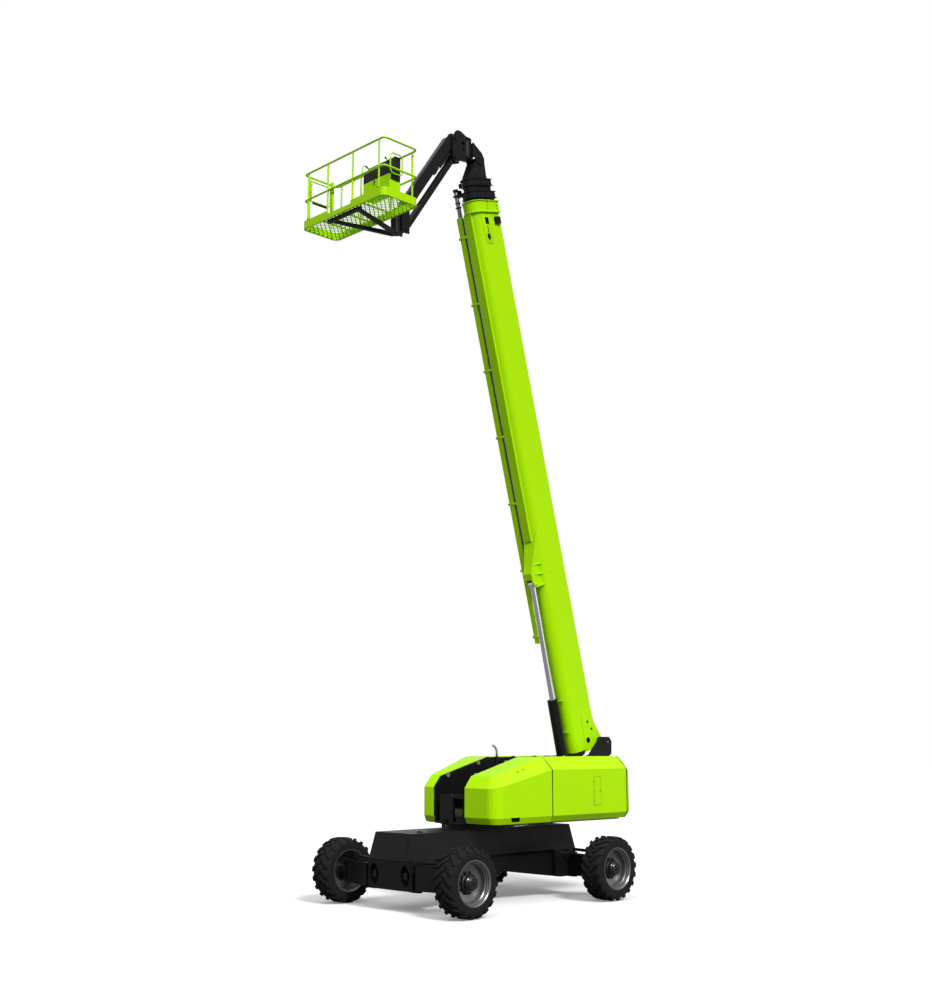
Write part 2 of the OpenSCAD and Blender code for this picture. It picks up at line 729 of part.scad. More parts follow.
// Height of the cover's top, flat at the rear and sloping to the nose
function cover_top_z(x) = x < slope_x ? hood_top_z
    : hood_top_z + (x - slope_x) * (nose_top_z - hood_top_z) / (nose_x - nose_bevel_w - slope_x);

// Distance from the mid-plane of a place that would be at y if the cover didn't narrow to the nose
function tapered_y(x, y, taper) = x < slope_x ? y
    : slot_half_w + (y - slot_half_w) * (1 - taper * (x - slope_x) / (nose_x - slope_x));

// Outline of the front cover seen from above, set in from its widest by side_in and front_in
function cover_outline(side_in, front_in, r, t, taper) =
    let (x0 = t == 0 ? seam_x + seam_gap : seam_x - 20, y0 = t == 0 ? slot_half_w : slot_half_w - 20,
        x1 = nose_x - front_in - t, y1 = hood_half_w - side_in - t, q = r - t / 2)
    [for (p = concat([[x0, y0], [x0, y1], [slope_x, y1]],
        [for (a = [0:15:90]) [x1 - q + q * sin(a), y1 - q + q * cos(a)]], [[x1, y0], [slope_x, y0]]))
        [p[0], tapered_y(p[0], p[1] + t, taper) - t]];

// Front cover: bevelled at its foot and its shoulder, with a sloping top and a rounded nose
module front_cover(taper = 0) {
    color([0.6, 0.85, 0.05]) difference() {
        front_cover_solid(0, taper);
        front_cover_solid(skin_t, taper);
        // pocket in the lower bevel
        if (taper == 0)
            slab_y([[pocket_x, hood_z + 38], [pocket_x + 20, hood_z + 118],
                [pocket_x + 268, hood_z + 118], [pocket_x + 210, hood_z + 38]],
                hood_half_w - 90, hood_half_w + 20);
    }
}

module front_cover_solid(t, taper) {
    low = cover_outline(foot_in, foot_in, nose_r - foot_in, t, taper);
    full = cover_outline(0, 0, nose_r, t, taper);
    top = cover_outline(hood_bevel_w - 5, nose_bevel_w, 70, t, taper);
    n = len(low);
    points = concat([for (p = low) [p[0], p[1], hood_z - (t == 0 ? 0 : 20)]],
        [for (p = full) [p[0], p[1], hood_bevel_z]],
        [for (p = full) [p[0], p[1], shoulder_z(p[0]) - 0.4 * t]],
        [for (p = top) [p[0], p[1], cover_top_z(p[0]) - t]]);
    side = [for (i = [0:2], j = [0:n - 1]) let (a = i * n + j, b = i * n + (j + 1) % n)
        each [[a, b, b + n], [a, b + n, a + n]]];
    polyhedron(points = points, convexity = 4, faces = concat([[for (j = [n - 1:-1:0]) j]], side,
        [[3 * n, 3 * n + 1, 3 * n + 2, 4 * n - 1], [for (j = [2:n - 1]) 3 * n + j]]));
}

// Hinged rear cover with its hinge leaves, hatch and latch
module rear_cover() {
    color([0.62, 0.88, 0.05]) {
        translate([hood_rear_x, 0, 0]) rotate([90, 0, 90])
            linear_extrude(seam_x - seam_gap - hood_rear_x) difference() {
                rear_section(0);
                rear_section(skin_t);
            }
        for (k = [0:hinge_count - 1]) {
            x = hinge_first_x + hinge_len + eps + k * hinge_pitch;
            translate([x, slot_half_w, hood_top_z]) rotate([0, 90, 0])
                cylinder(h = hinge_len, r = hinge_r, $fn = 32);
            box([x, slot_half_w, hood_top_z - skin_t],
                [x + hinge_len, slot_half_w + cover_edge + 5, hood_top_z]);
        }
        // hatch and latch
        box([hatch_x, hood_half_w - 1, hatch_z], [hatch_x + 210, hood_half_w + 3, hatch_z + 540]);
        box([hatch_x + 20, hood_half_w + 2, hatch_z + 230], [hatch_x + 50, hood_half_w + 14, hatch_z + 330]);
    }
}

// Section of a rear cover, open below and towards the slot when it is taken from itself
module rear_section(t) {
    y0 = slot_half_w + cover_edge - (t == 0 ? 0 : 30);
    polygon([[y0, hood_z - t], [hood_half_w - 80 - t, hood_z - t],
        [hood_half_w - t, hood_bevel_z], [hood_half_w - t, hood_side_z - 0.4 * t],
        [hood_half_w - hood_bevel_w - 0.4 * t, hood_top_z - t], [y0, hood_top_z - t]]);
}

// Tail cover, a cap that narrows towards the back on each side, joined by a low plate
module tail_cover() {
    color([0.6, 0.85, 0.05]) {
        both_sides() difference() {
            hull() {
                tail_slice(hood_rear_x - seam_gap, 0, 0);
                tail_slice(tail_x, tail_in, 0);
            }
            hull() {
                tail_slice(hood_rear_x + 10, 0, skin_t);
                tail_slice(tail_x + skin_t, tail_in, skin_t);
            }
        }
        box([tail_x, -slot_half_w - 1, hood_z + 60], [tail_x + 30, slot_half_w + 1, slot_floor_z]);
    }
}

// Thin slice of the hoods' section at x, set in by inset, with its walls t further in
module tail_slice(x, inset, t) {
    y0 = slot_half_w - (t == 0 ? 0 : 10);
    translate([x - 1, 0, 0]) rotate([90, 0, 90]) linear_extrude(1)
        polygon([[y0, hood_z + inset - (t == 0 ? 0 : 10)],
            [hood_half_w - 80 - inset - t, hood_z + inset - (t == 0 ? 0 : 10)],
            [hood_half_w - inset - t, hood_bevel_z], [hood_half_w - inset - t, hood_side_z - inset - 0.4 * t],
            [hood_half_w - hood_bevel_w - 0.4 * t, hood_top_z - inset - t], [y0, hood_top_z - inset - t]]);
}

// Exhaust pipe on the right slot wall, bent forward at its top
module exhaust() {
    bend_r = 140;
    low = hood_top_z - 380;
    color([0.7, 0.7, 0.7]) translate([exhaust_x, exhaust_r + eps - wall_y, 0]) {
        translate([0, 0, low]) cylinder(h = hood_top_z + exhaust_rise + 4 - low, r = exhaust_r, $fn = 32);
        translate([bend_r, 0, hood_top_z + exhaust_rise]) rotate([90, 0, 0])
            rotate([0, 0, 180 - exhaust_bend])
            rotate_extrude(angle = exhaust_bend, $fn = 64) translate([bend_r, 0])
                circle(r = exhaust_r + 1, $fn = 32);
    }
}

// ---------- boom ----------

// Section outline with a flat top and a round bottom, its top at z = 0
module u_outline(w, h) {
    translate([-w / 2, -(h - w / 2)]) square([w, h - w / 2]);
    translate([0, -(h - w / 2)]) circle(r = w / 2, $fn = 64);
}

// A closed prism of that outline along X
module u_prism(w, h, x0, x1) {
    translate([x0, 0, 0]) rotate([90, 0, 90]) linear_extrude(x1 - x0) u_outline(w, h);
}

// A tube of that outline
module u_tube(w, h, t, x0, x1) {
    translate([x0, 0, 0]) rotate([90, 0, 90]) linear_extrude(x1 - x0) difference() {
        u_outline(w, h);
        translate([0, -t]) u_outline(w - 2 * t, h - 2 * t);
    }
}

step = boom_wall + section_gap;
second_w = base_w - 2 * step;
second_h = base_h - 2 * step;
third_w = second_w - 2 * step;
third_h = second_h - 2 * step;
fly_w = third_w - 2 * step;
fly_h = third_h - 2 * step;
second_top = base_top - step;
third_top = second_top - step;
fly_top = third_top - step;
collar = 42;
sleeve = 22;
flange_t = 14;
pad_len = 220;
second_len = base_len + collar_gap + second_collar;
third_len = second_len + collar_gap + third_collar;
level_s = third_len + head_reach;
tail_s = 300;
foot_plate_t = 14;
tray_t = 6;
saddle_low = -saddle_depth;

// A section: its tube, the collar with two flanges round its mouth and the wear pads inside it
module section(w, h, x0, x1, collar_len) {
    u_tube(w, h, boom_wall, x0, x1);
    translate([0, 0, sleeve]) u_tube(w + 2 * sleeve, h + 2 * sleeve, sleeve, x1 - collar_len, x1);
    for (x = [x1 - collar_len, x1 - flange_t])
        translate([0, 0, collar]) u_tube(w + 2 * collar, h + 2 * collar, collar, x, x + flange_t);
    translate([0, 0, -boom_wall]) u_tube(w - 2 * boom_wall, h - 2 * boom_wall, section_gap - eps,
        x1 - pad_len, x1 - 1);
}

// Tail pads of an inner section, which slide in the section around it
module tail_pads(w, h, x0) {
    translate([0, 0, section_gap - eps])
        u_tube(w + 2 * (section_gap - eps), h + 2 * (section_gap - eps), section_gap - eps, x0, x0 + pad_len);
}

module boom_base() {
    color([0.62, 0.88, 0.05]) in_boom() {
        difference() {
            union() {
                difference() {
                    translate([0, 0, base_top]) section(base_w, base_h, -foot_len, base_len, base_collar);
                    // room for the pivot between the foot's side plates
                    box([-foot_len - 1, -base_w / 2 - 1, base_top - 120], [160, base_w / 2 + 1, 1]);
                }
                both_sides() slab_y([[-foot_len - 45, -451], [600, -415], [690, -380], [690, base_top - 40],
                    [420, base_top + 6], [300, 4], [90, 92], [0, 110], [-70, 92], [-foot_len - 45, 0]],
                    base_w / 2 - boom_wall, base_w / 2 + foot_plate_t);
                lift_saddle();
            }
            bar_y(pivot_r + 0.1, -400, 400);
        }
    }
}

// Wedge under the boom that spreads the lift cylinder's load
module saddle_wedge(grow) {
    hull() {
        box([lift_s + 409, -saddle_out - grow, saddle_low + 80 - grow],
            [lift_s + 411, saddle_out + grow, base_top - base_h + 90]);
        box([lift_s + 1238, 10 - base_w / 2, base_top - base_h + 130 - grow],
            [lift_s + 1240, base_w / 2 - 10, base_top - base_h + 300]);
    }
}

module lift_saddle() {
    difference() {
        union() {
            saddle_wedge(0);
            both_sides() slab_y([[lift_s - 80, base_top - base_h + 90], [lift_s - 80, 60 - lift_n],
                [lift_s - 60, -lift_n - 40], [lift_s, -lift_n - 80], [lift_s + 60, saddle_low],
                [lift_s + 230, saddle_low], [lift_s + 410, saddle_low + 80],
                    [lift_s + 410, base_top - base_h + 90]],
                saddle_in, saddle_out);
            // front plate between the cheeks
            slab_y([[lift_s + 92, saddle_low], [lift_s + 230, saddle_low], [lift_s + 411, saddle_low + 80],
                [lift_s + 411, saddle_low + 94], [lift_s + 228, saddle_low + 14],
                    [lift_s + 92, saddle_low + 14]],
                -saddle_in - 1, saddle_in + 1);
            // ends of the lift pin
            both_sides() translate([lift_s, 0, -lift_n]) bar_y(lift_pin_r, saddle_out - 1, saddle_out + 14);
            // three ribs from the cheeks to the boom's sides
            for (x = [-58, 180, 386])
                both_sides() translate([lift_s + x, 0, 0]) rotate([90, 0, 90]) linear_extrude(12)
                    polygon([[saddle_in + 1, saddle_low + 90], [saddle_out, saddle_low + 90],
                        [base_w / 2 + 14, -450], [saddle_in + 1, -450]]);
        }
        translate([0, 0, base_top - boom_wall / 2])
            u_prism(base_w - boom_wall, base_h - boom_wall, lift_s - 200, lift_s + 1400);
    }
}

module boom_second() {
    color([0.08, 0.08, 0.09]) in_boom() translate([0, 0, second_top]) {
        section(second_w, second_h, tail_s, second_len, second_collar - 30);
        tail_pads(second_w, second_h, tail_s);
    }
}

module boom_third() {
    color([0.08, 0.08, 0.09]) in_boom() translate([0, 0, third_top]) {
        section(third_w, third_h, tail_s + 60, third_len, third_collar - 90);
        tail_pads(third_w, third_h, tail_s + 60);
    }
}

module boom_fly() {
    color([0.08, 0.08, 0.09]) in_boom() {
        translate([0, 0, fly_top]) {
            u_tube(fly_w, fly_h, boom_wall, tail_s + 120, third_len + 40);
            tail_pads(fly_w, fly_h, tail_s + 120);
        }
        difference() {
            both_sides() slab_y([[third_len - 100, fly_top - 20], [third_len + 20, fly_top - 20],
                [level_s - 60, fly_top + 5],
                [level_s + 30, -level_n + 110], [level_s + 90, -level_n], [level_s + 45, -level_n - 65],
                [third_len + 60, fly_top - fly_h + 60], [third_len + 20, fly_top - fly_h + 60],
                [third_len + 15, fly_top - fly_h + 130], [third_len - 100, fly_top - fly_h + 130]],
                fly_w / 2 - 30, fly_w / 2 - 0.01);
            translate([level_s, 0, -level_n]) bar_y(40.1, -400, 400);
        }
    }
}

// Tray of folded plate beside the boom, its clamps, and the flat channel under the boom
module hose_tray() {
    low = base_top - base_h - 20;
    tray_end = base_len - tray_back;
    color([0.55, 0.8, 0.05]) in_boom() {
        translate([tray_start, 0, 0]) rotate([90, 0, 90]) linear_extrude(tray_end - tray_start)
            polygon([[-tray_y, low], [-tray_y + 124, low], [-tray_y + 124, low + 40],
                [-tray_y + 118, low + 40],
                [-tray_y + 118, low + tray_t], [-tray_y + tray_t, low + tray_t],
                    [-tray_y + tray_t, low + 190],
                [-tray_y, low + 190]]);
        // clamps that hold it to the boom
        difference() {
            for (x = [tray_start + 120:clamp_pitch:tray_end - 60])
                box([x, -tray_y + tray_t - 1, low + 150], [x + 50, 60 - base_w / 2, low + 188]);
            translate([0, 0, base_top + eps]) u_prism(base_w + 2 * eps, base_h + 2 * eps, 0, base_len);
        }
        difference() {
            box([lift_s + 880, -130, low - 6], [tray_end, 70, low + 80]);
            translate([0, 0, base_top + eps]) u_prism(base_w + 2 * eps, base_h + 2 * eps, 0, base_len);
            saddle_wedge(eps);
        }
    }
}

// ---------- lift cylinder ----------

lift_top = boom_point(lift_s, -lift_n);
lift_vec = [lift_top[0] - lift_x, lift_top[2] - lift_z];
lift_angle = atan2(lift_vec[1], lift_vec[0]);
lift_len = norm(lift_vec);

module in_lift() {
    translate([lift_x, 0, lift_z]) rotate([0, -lift_angle, 0]) children();
}

module lift_barrel() {
    color([0.07, 0.07, 0.07]) in_lift() {
        difference() {
            rotate([0, 90, 0]) cylinder(h = lift_barrel_len, r = lift_barrel_r, $fn = 64);
            translate([130, 0, 0]) rotate([0, 90, 0])
                cylinder(h = lift_barrel_len, r = lift_rod_r + 25, $fn = 64);
        }
        translate([lift_barrel_len - 90, 0, 0]) rotate([0, 90, 0]) difference() {
            cylinder(h = 90, r = lift_barrel_r, $fn = 64);
            translate([0, 0, -1]) cylinder(h = 92, r = lift_rod_r + eps, $fn = 64);
        }
        bar_y(lift_barrel_r - 1, -lift_barrel_r - 19, lift_barrel_r + 19);
    }
}

module lift_rod() {
    rod_len = lift_len - lift_barrel_len + 215;
    color([0.8, 0.8, 0.82]) in_lift() {
        translate([lift_len - rod_len, 0, 0]) rotate([0, 90, 0])
            cylinder(h = rod_len, r = lift_rod_r, $fn = 48);
        translate([lift_len - rod_len, 0, 0]) rotate([0, 90, 0])
            cylinder(h = 80, r = lift_rod_r + 24.7, $fn = 48);
        translate([lift_len, 0, 0]) bar_y(lift_eye_r, eps - saddle_in, saddle_in - eps);
    }
}

// ---------- head and jib ----------

head_t = 16;
drum_plate_t = 36;
jib_pin_r = 32;
jib_side_gap = 8;
jib_plate_t = 30;
level_at = boom_point(level_s, -level_n);
swing_x = level_at[0] + swing_dx;
jib_a = [swing_x + jib_dx, 0, level_at[2] + jib_dz];
jib_b = jib_a - [0, 0, jib_rise];
jib_vec = [jib_len * cos(jib_angle), 0, -jib_len * sin(jib_angle)];
jib_c = jib_a + jib_vec;
jib_d = jib_b + jib_vec;

// Head that stays level: cheeks on the levelling pin, a web and the drum that the jib swings on
module level_head() {
    color([0.08, 0.08, 0.09]) {
        translate(level_at) {
            bar_y(40, -fly_w / 2 - head_t - move_gap, fly_w / 2 + head_t + move_gap);
            both_sides() slab_y([[-135, -40], [-130, 30], [-60, 135], [65, 212], [swing_dx - 60, 300],
                [swing_dx - 60, -28], [swing_dx - 122, -28], [60, -130], [-60, -130]],
                fly_w / 2 + move_gap, fly_w / 2 + move_gap + head_t);
            slab_y([[swing_dx - 126, 30], [swing_dx - 126, 240], [swing_dx - 60, 280], [swing_dx - 60, -28],
                [swing_dx - 92, -28]],
                -fly_w / 2 - move_gap - 1, fly_w / 2 + move_gap + 1);
        }
        translate([swing_x, 0, level_at[2] - drum_low])
            cylinder(h = drum_low + drum_high, r = swing_r, $fn = 48);
    }
}

// Bracket that swings on the drum and carries the jib's two pivots and its cylinder
module swing_bracket() {
    plate_z = [level_at[2] - drum_low - drum_plate_t - eps, level_at[2] + drum_high + eps];
    inner = jib_w / 2 + jib_side_gap;
    outer = inner + jib_plate_t;
    color([0.08, 0.08, 0.09]) {
        difference() {
            both_sides() slab_y([[swing_x + swing_r + 10, level_at[2] - 160], [jib_b[0] - 20, jib_b[2] - 92],
                [jib_b[0] + 60, jib_b[2] - 80], [jib_b[0] + 90, jib_b[2]], [jib_a[0] + 90, jib_a[2]],
                [jib_a[0] - 10, jib_a[2] + 170], [jib_a[0] - 60, jib_a[2] + 204],
                    [jib_a[0] - 160, jib_a[2] + 200],
                [swing_x + swing_r + 10, level_at[2] + drum_high + drum_plate_t]], inner, outer);
            translate(jib_a) bar_y(jib_pin_r + 0.1, -300, 300);
            translate(jib_b) bar_y(jib_pin_r + 0.1, -300, 300);
            // lightening holes
            translate([swing_x + swing_r + 90, 0, level_at[2] + 180]) bar_y(45, -300, 300);
            translate([swing_x + swing_r + 80, 0, level_at[2] + 60]) bar_y(30, -300, 300);
        }
        // clevis of the jib cylinder, on a cross plate behind the lower pivot
        box([jib_a[0] - 120, -inner - 1, cyl_e[2] - 60], [jib_a[0] - 90, inner + 1, cyl_e[2] + 60]);
        difference() {
            both_sides() slab_y([[jib_a[0] - 91, cyl_e[2] - 45], [cyl_e[0] + 20, cyl_e[2] - 45],
                [cyl_e[0] + 45, cyl_e[2] - 20], [cyl_e[0] + 45, cyl_e[2] + 20],
                    [cyl_e[0] + 20, cyl_e[2] + 45],
                [jib_a[0] - 91, cyl_e[2] + 45]], jib_cyl_r + 4, jib_cyl_r + 19);
            translate(cyl_e) bar_y(20.1, -300, 300);
        }
        // top and bottom plates on the drum's ends
        for (z = plate_z) {
            translate([swing_x, 0, z]) cylinder(h = drum_plate_t, r = swing_r, $fn = 48);
            box([swing_x, -outer, z], [swing_x + swing_r + 60, outer, z + drum_plate_t]);
        }
    }
}

module in_jib(from) {
    translate(from) rotate([0, jib_angle, 0]) children();
}

module jib_beam() {
    color([0.1, 0.1, 0.11]) in_jib(jib_a) {
        difference() {
            slab_y([[-50, -jib_down], [jib_len + 50, -jib_down], [jib_len + 50, 60], [jib_len - 120, jib_up],
                [120, jib_up], [-50, 60]], -jib_w / 2, jib_w / 2);
            box([120, -jib_w / 2 + 8, -jib_down + 8], [jib_len - 120, jib_w / 2 - 8, jib_up - 8]);
            box([120, -jib_w / 2 + 8, -jib_down - 1], [1150, jib_w / 2 - 8, jib_up - 8]);
        }
        bar_y(32, -jib_w / 2 - 45, jib_w / 2 + 45);
        translate([jib_len, 0, 0]) bar_y(32, -jib_w / 2 - 45, jib_w / 2 + 45);
    }
}

module jib_link() {
    color([0.1, 0.1, 0.11]) in_jib(jib_b) {
        both_sides() slab_y([[-45, -45], [jib_len + 45, -45], [jib_len + 45, 45], [-45, 45]],
            jib_cyl_r + 26, jib_w / 2 + 2);
        box([jib_len - 800, -jib_cyl_r - 27, -45], [jib_len - 100, jib_cyl_r + 27, 45]);
        bar_y(32, -jib_w / 2 - 45, jib_w / 2 + 45);
        translate([jib_len, 0, 0]) bar_y(32, -jib_w / 2 - 45, jib_w / 2 + 45);
    }
}

jib_cyl_r = 36;
jib_rod_r = 22;
cyl_e = jib_a + [20, 0, -270];
cyl_f = jib_a + [1000 * cos(jib_angle) - 0 * sin(jib_angle), 0, -1000 * sin(jib_angle)]
    + [-(jib_down + 40) * sin(jib_angle), 0, -(jib_down + 40) * cos(jib_angle)];
cyl_vec = cyl_f - cyl_e;
cyl_len = norm(cyl_vec);
cyl_angle = atan2(cyl_vec[2], cyl_vec[0]);

module in_cyl() {
    translate(cyl_e) rotate([0, -cyl_angle, 0]) children();
}

module jib_barrel() {
    color([0.09, 0.09, 0.1]) in_cyl() {
        difference() {
            union() {
                rotate([0, 90, 0]) cylinder(h = 560, r = jib_cyl_r, $fn = 48);
                bar_y(40, -jib_cyl_r, jib_cyl_r);
            }
            translate([60, 0, 0]) rotate([0, 90, 0]) cylinder(h = 560, r = jib_rod_r + eps, $fn = 48);
        }
        bar_y(20, -jib_cyl_r - 19, jib_cyl_r + 19);
    }
}

module jib_rod() {
    color([0.8, 0.8, 0.82]) in_cyl() {
        translate([cyl_len - 640, 0, 0]) rotate([0, 90, 0]) cylinder(h = 640, r = jib_rod_r, $fn = 48);
        translate([cyl_len, 0, 0]) bar_y(34, -jib_cyl_r, jib_cyl_r);
    }
}

rotator_x = jib_d[0] + 190;

module jib_end() {
    color([0.1, 0.1, 0.11]) {
        difference() {
            both_sides() slab_y([[jib_d[0] - 70, jib_d[2] - 60], [jib_d[0] + 130, jib_d[2] - 60],
                [jib_c[0] + 130, jib_c[2] + 70], [jib_c[0] - 70, jib_c[2] + 70]],
                jib_w / 2 + 8, jib_w / 2 + 38);
            translate(jib_c) bar_y(32.1, -300, 300);
            translate(jib_d) bar_y(32.1, -300, 300);
        }
        box([jib_d[0] + 90, -jib_w / 2 - 9, jib_d[2] - 60], [jib_d[0] + 120, jib_w / 2 + 9, jib_c[2] + 70]);
        translate([rotator_x, 0, jib_d[2] - 60]) cylinder(h = 440, r = 100, $fn = 48);
    }
}

// ---------- platform ----------

platform_z = jib_d[2] - platform_drop;
platform_x0 = jib_d[0] + platform_dx;
platform_x1 = platform_x0 + platform_w;
gate_x1 = platform_x1 - 190;
gate_x0 = gate_x1 - 480;
gate_z0 = 640;
gate_z1 = 1085;
gate_r = 16;
gate_bend = 70;
floor_t = 35;
toe_t = 5;
console_y0 = -30;
post_front_y = [-1060, -450, 300, 1060];
post_rear_y = [-1060, -450, 450, 1060];

// Rotator flange, two arms that spread under the floor and a cross bar
module platform_support() {
    color([0.08, 0.08, 0.09]) {
        translate([rotator_x, 0, jib_d[2] - 60 - 45]) cylinder(h = 45 - eps, r = 120, $fn = 48);
        for (side = [-1, 1])
            hull() {
                translate([rotator_x + 60, side * 40, platform_z - 50]) cube([60, 60, 80], center = true);
                translate([platform_x1 - 90, side * 400, platform_z - 30]) cube([60, 60, 50], center = true);
            }
        box([platform_x1 - 120, -480, platform_z - 60], [platform_x1 - 50, 480, platform_z - eps]);
    }
}

// Outline with round corners, inset by d from the platform's edge
module platform_outline(d) {
    r = rail_bend - d;
    x0 = platform_x0 + d;
    x1 = platform_x1 - d;
    y1 = platform_len / 2 - d;
    polygon([[x0 + r, -y1], [x1 - r, -y1], [x1 - r, y1], [x0 + r, y1]]);
    polygon([[x0, r - y1], [x1, r - y1], [x1, y1 - r], [x0, y1 - r]]);
    for (x = [x0 + r, x1 - r], y = [r - y1, y1 - r])
        translate([x, y]) circle(r = r, $fn = 64);
}

module platform_floor() {
    color([0.55, 0.8, 0.05]) difference() {
        translate([0, 0, platform_z]) linear_extrude(toe_h) platform_outline(0);
        translate([0, 0, platform_z + floor_t]) linear_extrude(toe_h) platform_outline(toe_t);
        // lower stretch of the toe board between the front posts
        box([platform_x1 - 2 * toe_t, post_front_y[1] + 30, platform_z + 0.6 * toe_h],
            [platform_x1 + 10, post_front_y[2] - 30, platform_z + 2 * toe_h]);
    }
}

post_r = rail_r - 2;
rail_inset = rail_r + 6;
rail_x0 = platform_x0 + rail_inset;
rail_x1 = platform_x1 - rail_inset;
end_y = platform_len / 2 - rail_inset;
gate_post_dx = gate_r + post_r + move_gap;

module post(x, y) {
    translate([x, y, platform_z + floor_t + eps])
        cylinder(h = rail_h - rail_r - floor_t - eps, r = post_r, $fn = 32);
}

// A quarter bend of a rail, round the corner at x and y
module rail_corner(x, y, start) {
    translate([x, y, 0]) rotate([0, 0, start]) rotate_extrude(angle = 90, $fn = 64)
        translate([rail_bend - rail_inset, 0]) circle(r = rail_r, $fn = 32);
}

// Posts, the bent rails between them and the hinge eyes of the gate
module platform_rails() {
    q = rail_bend - rail_inset;
    gate_posts = [gate_x1 + gate_post_dx, gate_x0 - gate_post_dx];
    color([0.6, 0.85, 0.05]) {
        for (y = post_front_y)
            post(rail_x1, y);
        for (y = post_rear_y)
            post(rail_x0, y);
        for (x = gate_posts)
            post(x, -end_y);
        // hinge eyes round the gate's stile
        for (z = [gate_z0 + 70, gate_z1 - 110])
            translate([gate_x1, -end_y, platform_z + z]) difference() {
                union() {
                    cylinder(h = 40, r = gate_r + 8, $fn = 32);
                    translate([0, -8, 1]) cube([gate_post_dx, 16, 38]);
                }
                translate([0, 0, -1]) cylinder(h = 42, r = gate_r + eps, $fn = 32);
            }
        for (z = [mid_rail_h, rail_h - rail_r]) translate([0, 0, platform_z + z]) {
            for (x = [rail_x0, rail_x1])
                translate([x, 0, 0]) bar_y(rail_r, q - end_y, end_y - q);
            rail_corner(rail_x1 - q, end_y - q, 0);
            rail_corner(rail_x0 + q, end_y - q, 90);
            rail_corner(rail_x0 + q, q - end_y, 180);
            rail_corner(rail_x1 - q, q - end_y, 270);
            bar_x(rail_r, rail_x0 + q, rail_x1 - q, end_y);
            // at the gate's end the middle rail stops at the gate's posts
            if (z == mid_rail_h) {
                bar_x(rail_r, gate_posts[0], rail_x1 - q, -end_y);
                bar_x(rail_r, rail_x0 + q, gate_posts[1], -end_y);
            } else {
                bar_x(rail_r, rail_x0 + q, rail_x1 - q, -end_y);
            }
        }
    }
}

// A round bar along X at y, from x0 to x1
module bar_x(r, x0, x1, y) {
    translate([x0, y, 0]) rotate([0, 90, 0]) cylinder(h = x1 - x0, r = r, $fn = 48);
}

// Gate leaf: a straight hinge stile and a bar bent round its free side
module platform_gate() {
    r = gate_r - 2;
    color([0.6, 0.85, 0.05]) translate([0, -end_y, platform_z]) {
        translate([gate_x1, 0, gate_z0]) cylinder(h = gate_z1 - gate_z0, r = gate_r, $fn = 32);
        for (z = [gate_z0 + gate_r, gate_z1 - gate_r])
            translate([0, 0, z]) bar_x(r, gate_x0 + gate_bend, gate_x1, 0);
        translate([gate_x0, 0, gate_z0 + gate_r + gate_bend])
            cylinder(h = gate_z1 - gate_z0 - 2 * gate_r - 2 * gate_bend, r = r, $fn = 32);
        for (k = [0, 1])
            translate([gate_x0 + gate_bend, 0, k == 0 ? gate_z0 + gate_r + gate_bend : gate_z1 - gate_r - gate_bend])
                rotate([90, 0, 0]) rotate([0, 0, k == 0 ? 180 : 90]) rotate_extrude(angle = 90, $fn = 64)
                    translate([gate_bend, 0]) circle(r = r, $fn = 32);
    }
}

// Control console on the rear rail: a box with a sloping panel on top
module control_box() {
    x0 = rail_x0 + rail_r + eps;
    color([0.1, 0.1, 0.1]) slab_y([[x0, platform_z + console_z], [x0 + 270, platform_z + console_z],
        [x0 + 270, platform_z + console_z + console_h - 190], [x0 + 130, platform_z + console_z + console_h],
        [x0, platform_z + console_z + console_h]], console_y0, console_y0 + console_w);
}

chassis();
tie_downs();
axle_arms();
swing_cylinders();
corner(true, true) knuckle();  // knuckle_front_left
corner(true, false) knuckle();  // knuckle_front_right
corner(false, true) knuckle();  // knuckle_rear_left
corner(false, false) knuckle();  // knuckle_rear_right
corner(true, true) rim();  // rim_front_left
corner(true, false) rim();  // rim_front_right
corner(false, true) rim();  // rim_rear_left
corner(false, false) rim();  // rim_rear_right
corner(true, true) tyre();  // tyre_front_left
corner(true, false) tyre();  // tyre_front_right
corner(false, true) tyre();  // tyre_rear_left
corner(false, false) tyre();  // tyre_rear_right
slew_ring();
turntable();
rest_pads();
engine_block();
counterweight();
front_cover();  // front_cover_left
mirror([0, 1, 0]) front_cover(right_taper);  // front_cover_right
rear_cover();  // rear_cover_left
mirror([0, 1, 0]) rear_cover();  // rear_cover_right
tail_cover();
exhaust();
boom_pivot_pin();
boom_base();
boom_second();
boom_third();
boom_fly();
hose_tray();
lift_barrel();
lift_rod();
level_head();
swing_bracket();
jib_beam();
jib_link();
jib_barrel();
jib_rod();
jib_end();
platform_support();
platform_floor();
platform_rails();
platform_gate();
control_box();
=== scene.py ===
import math

import bmesh
import bpy
from mathutils import Matrix, Vector


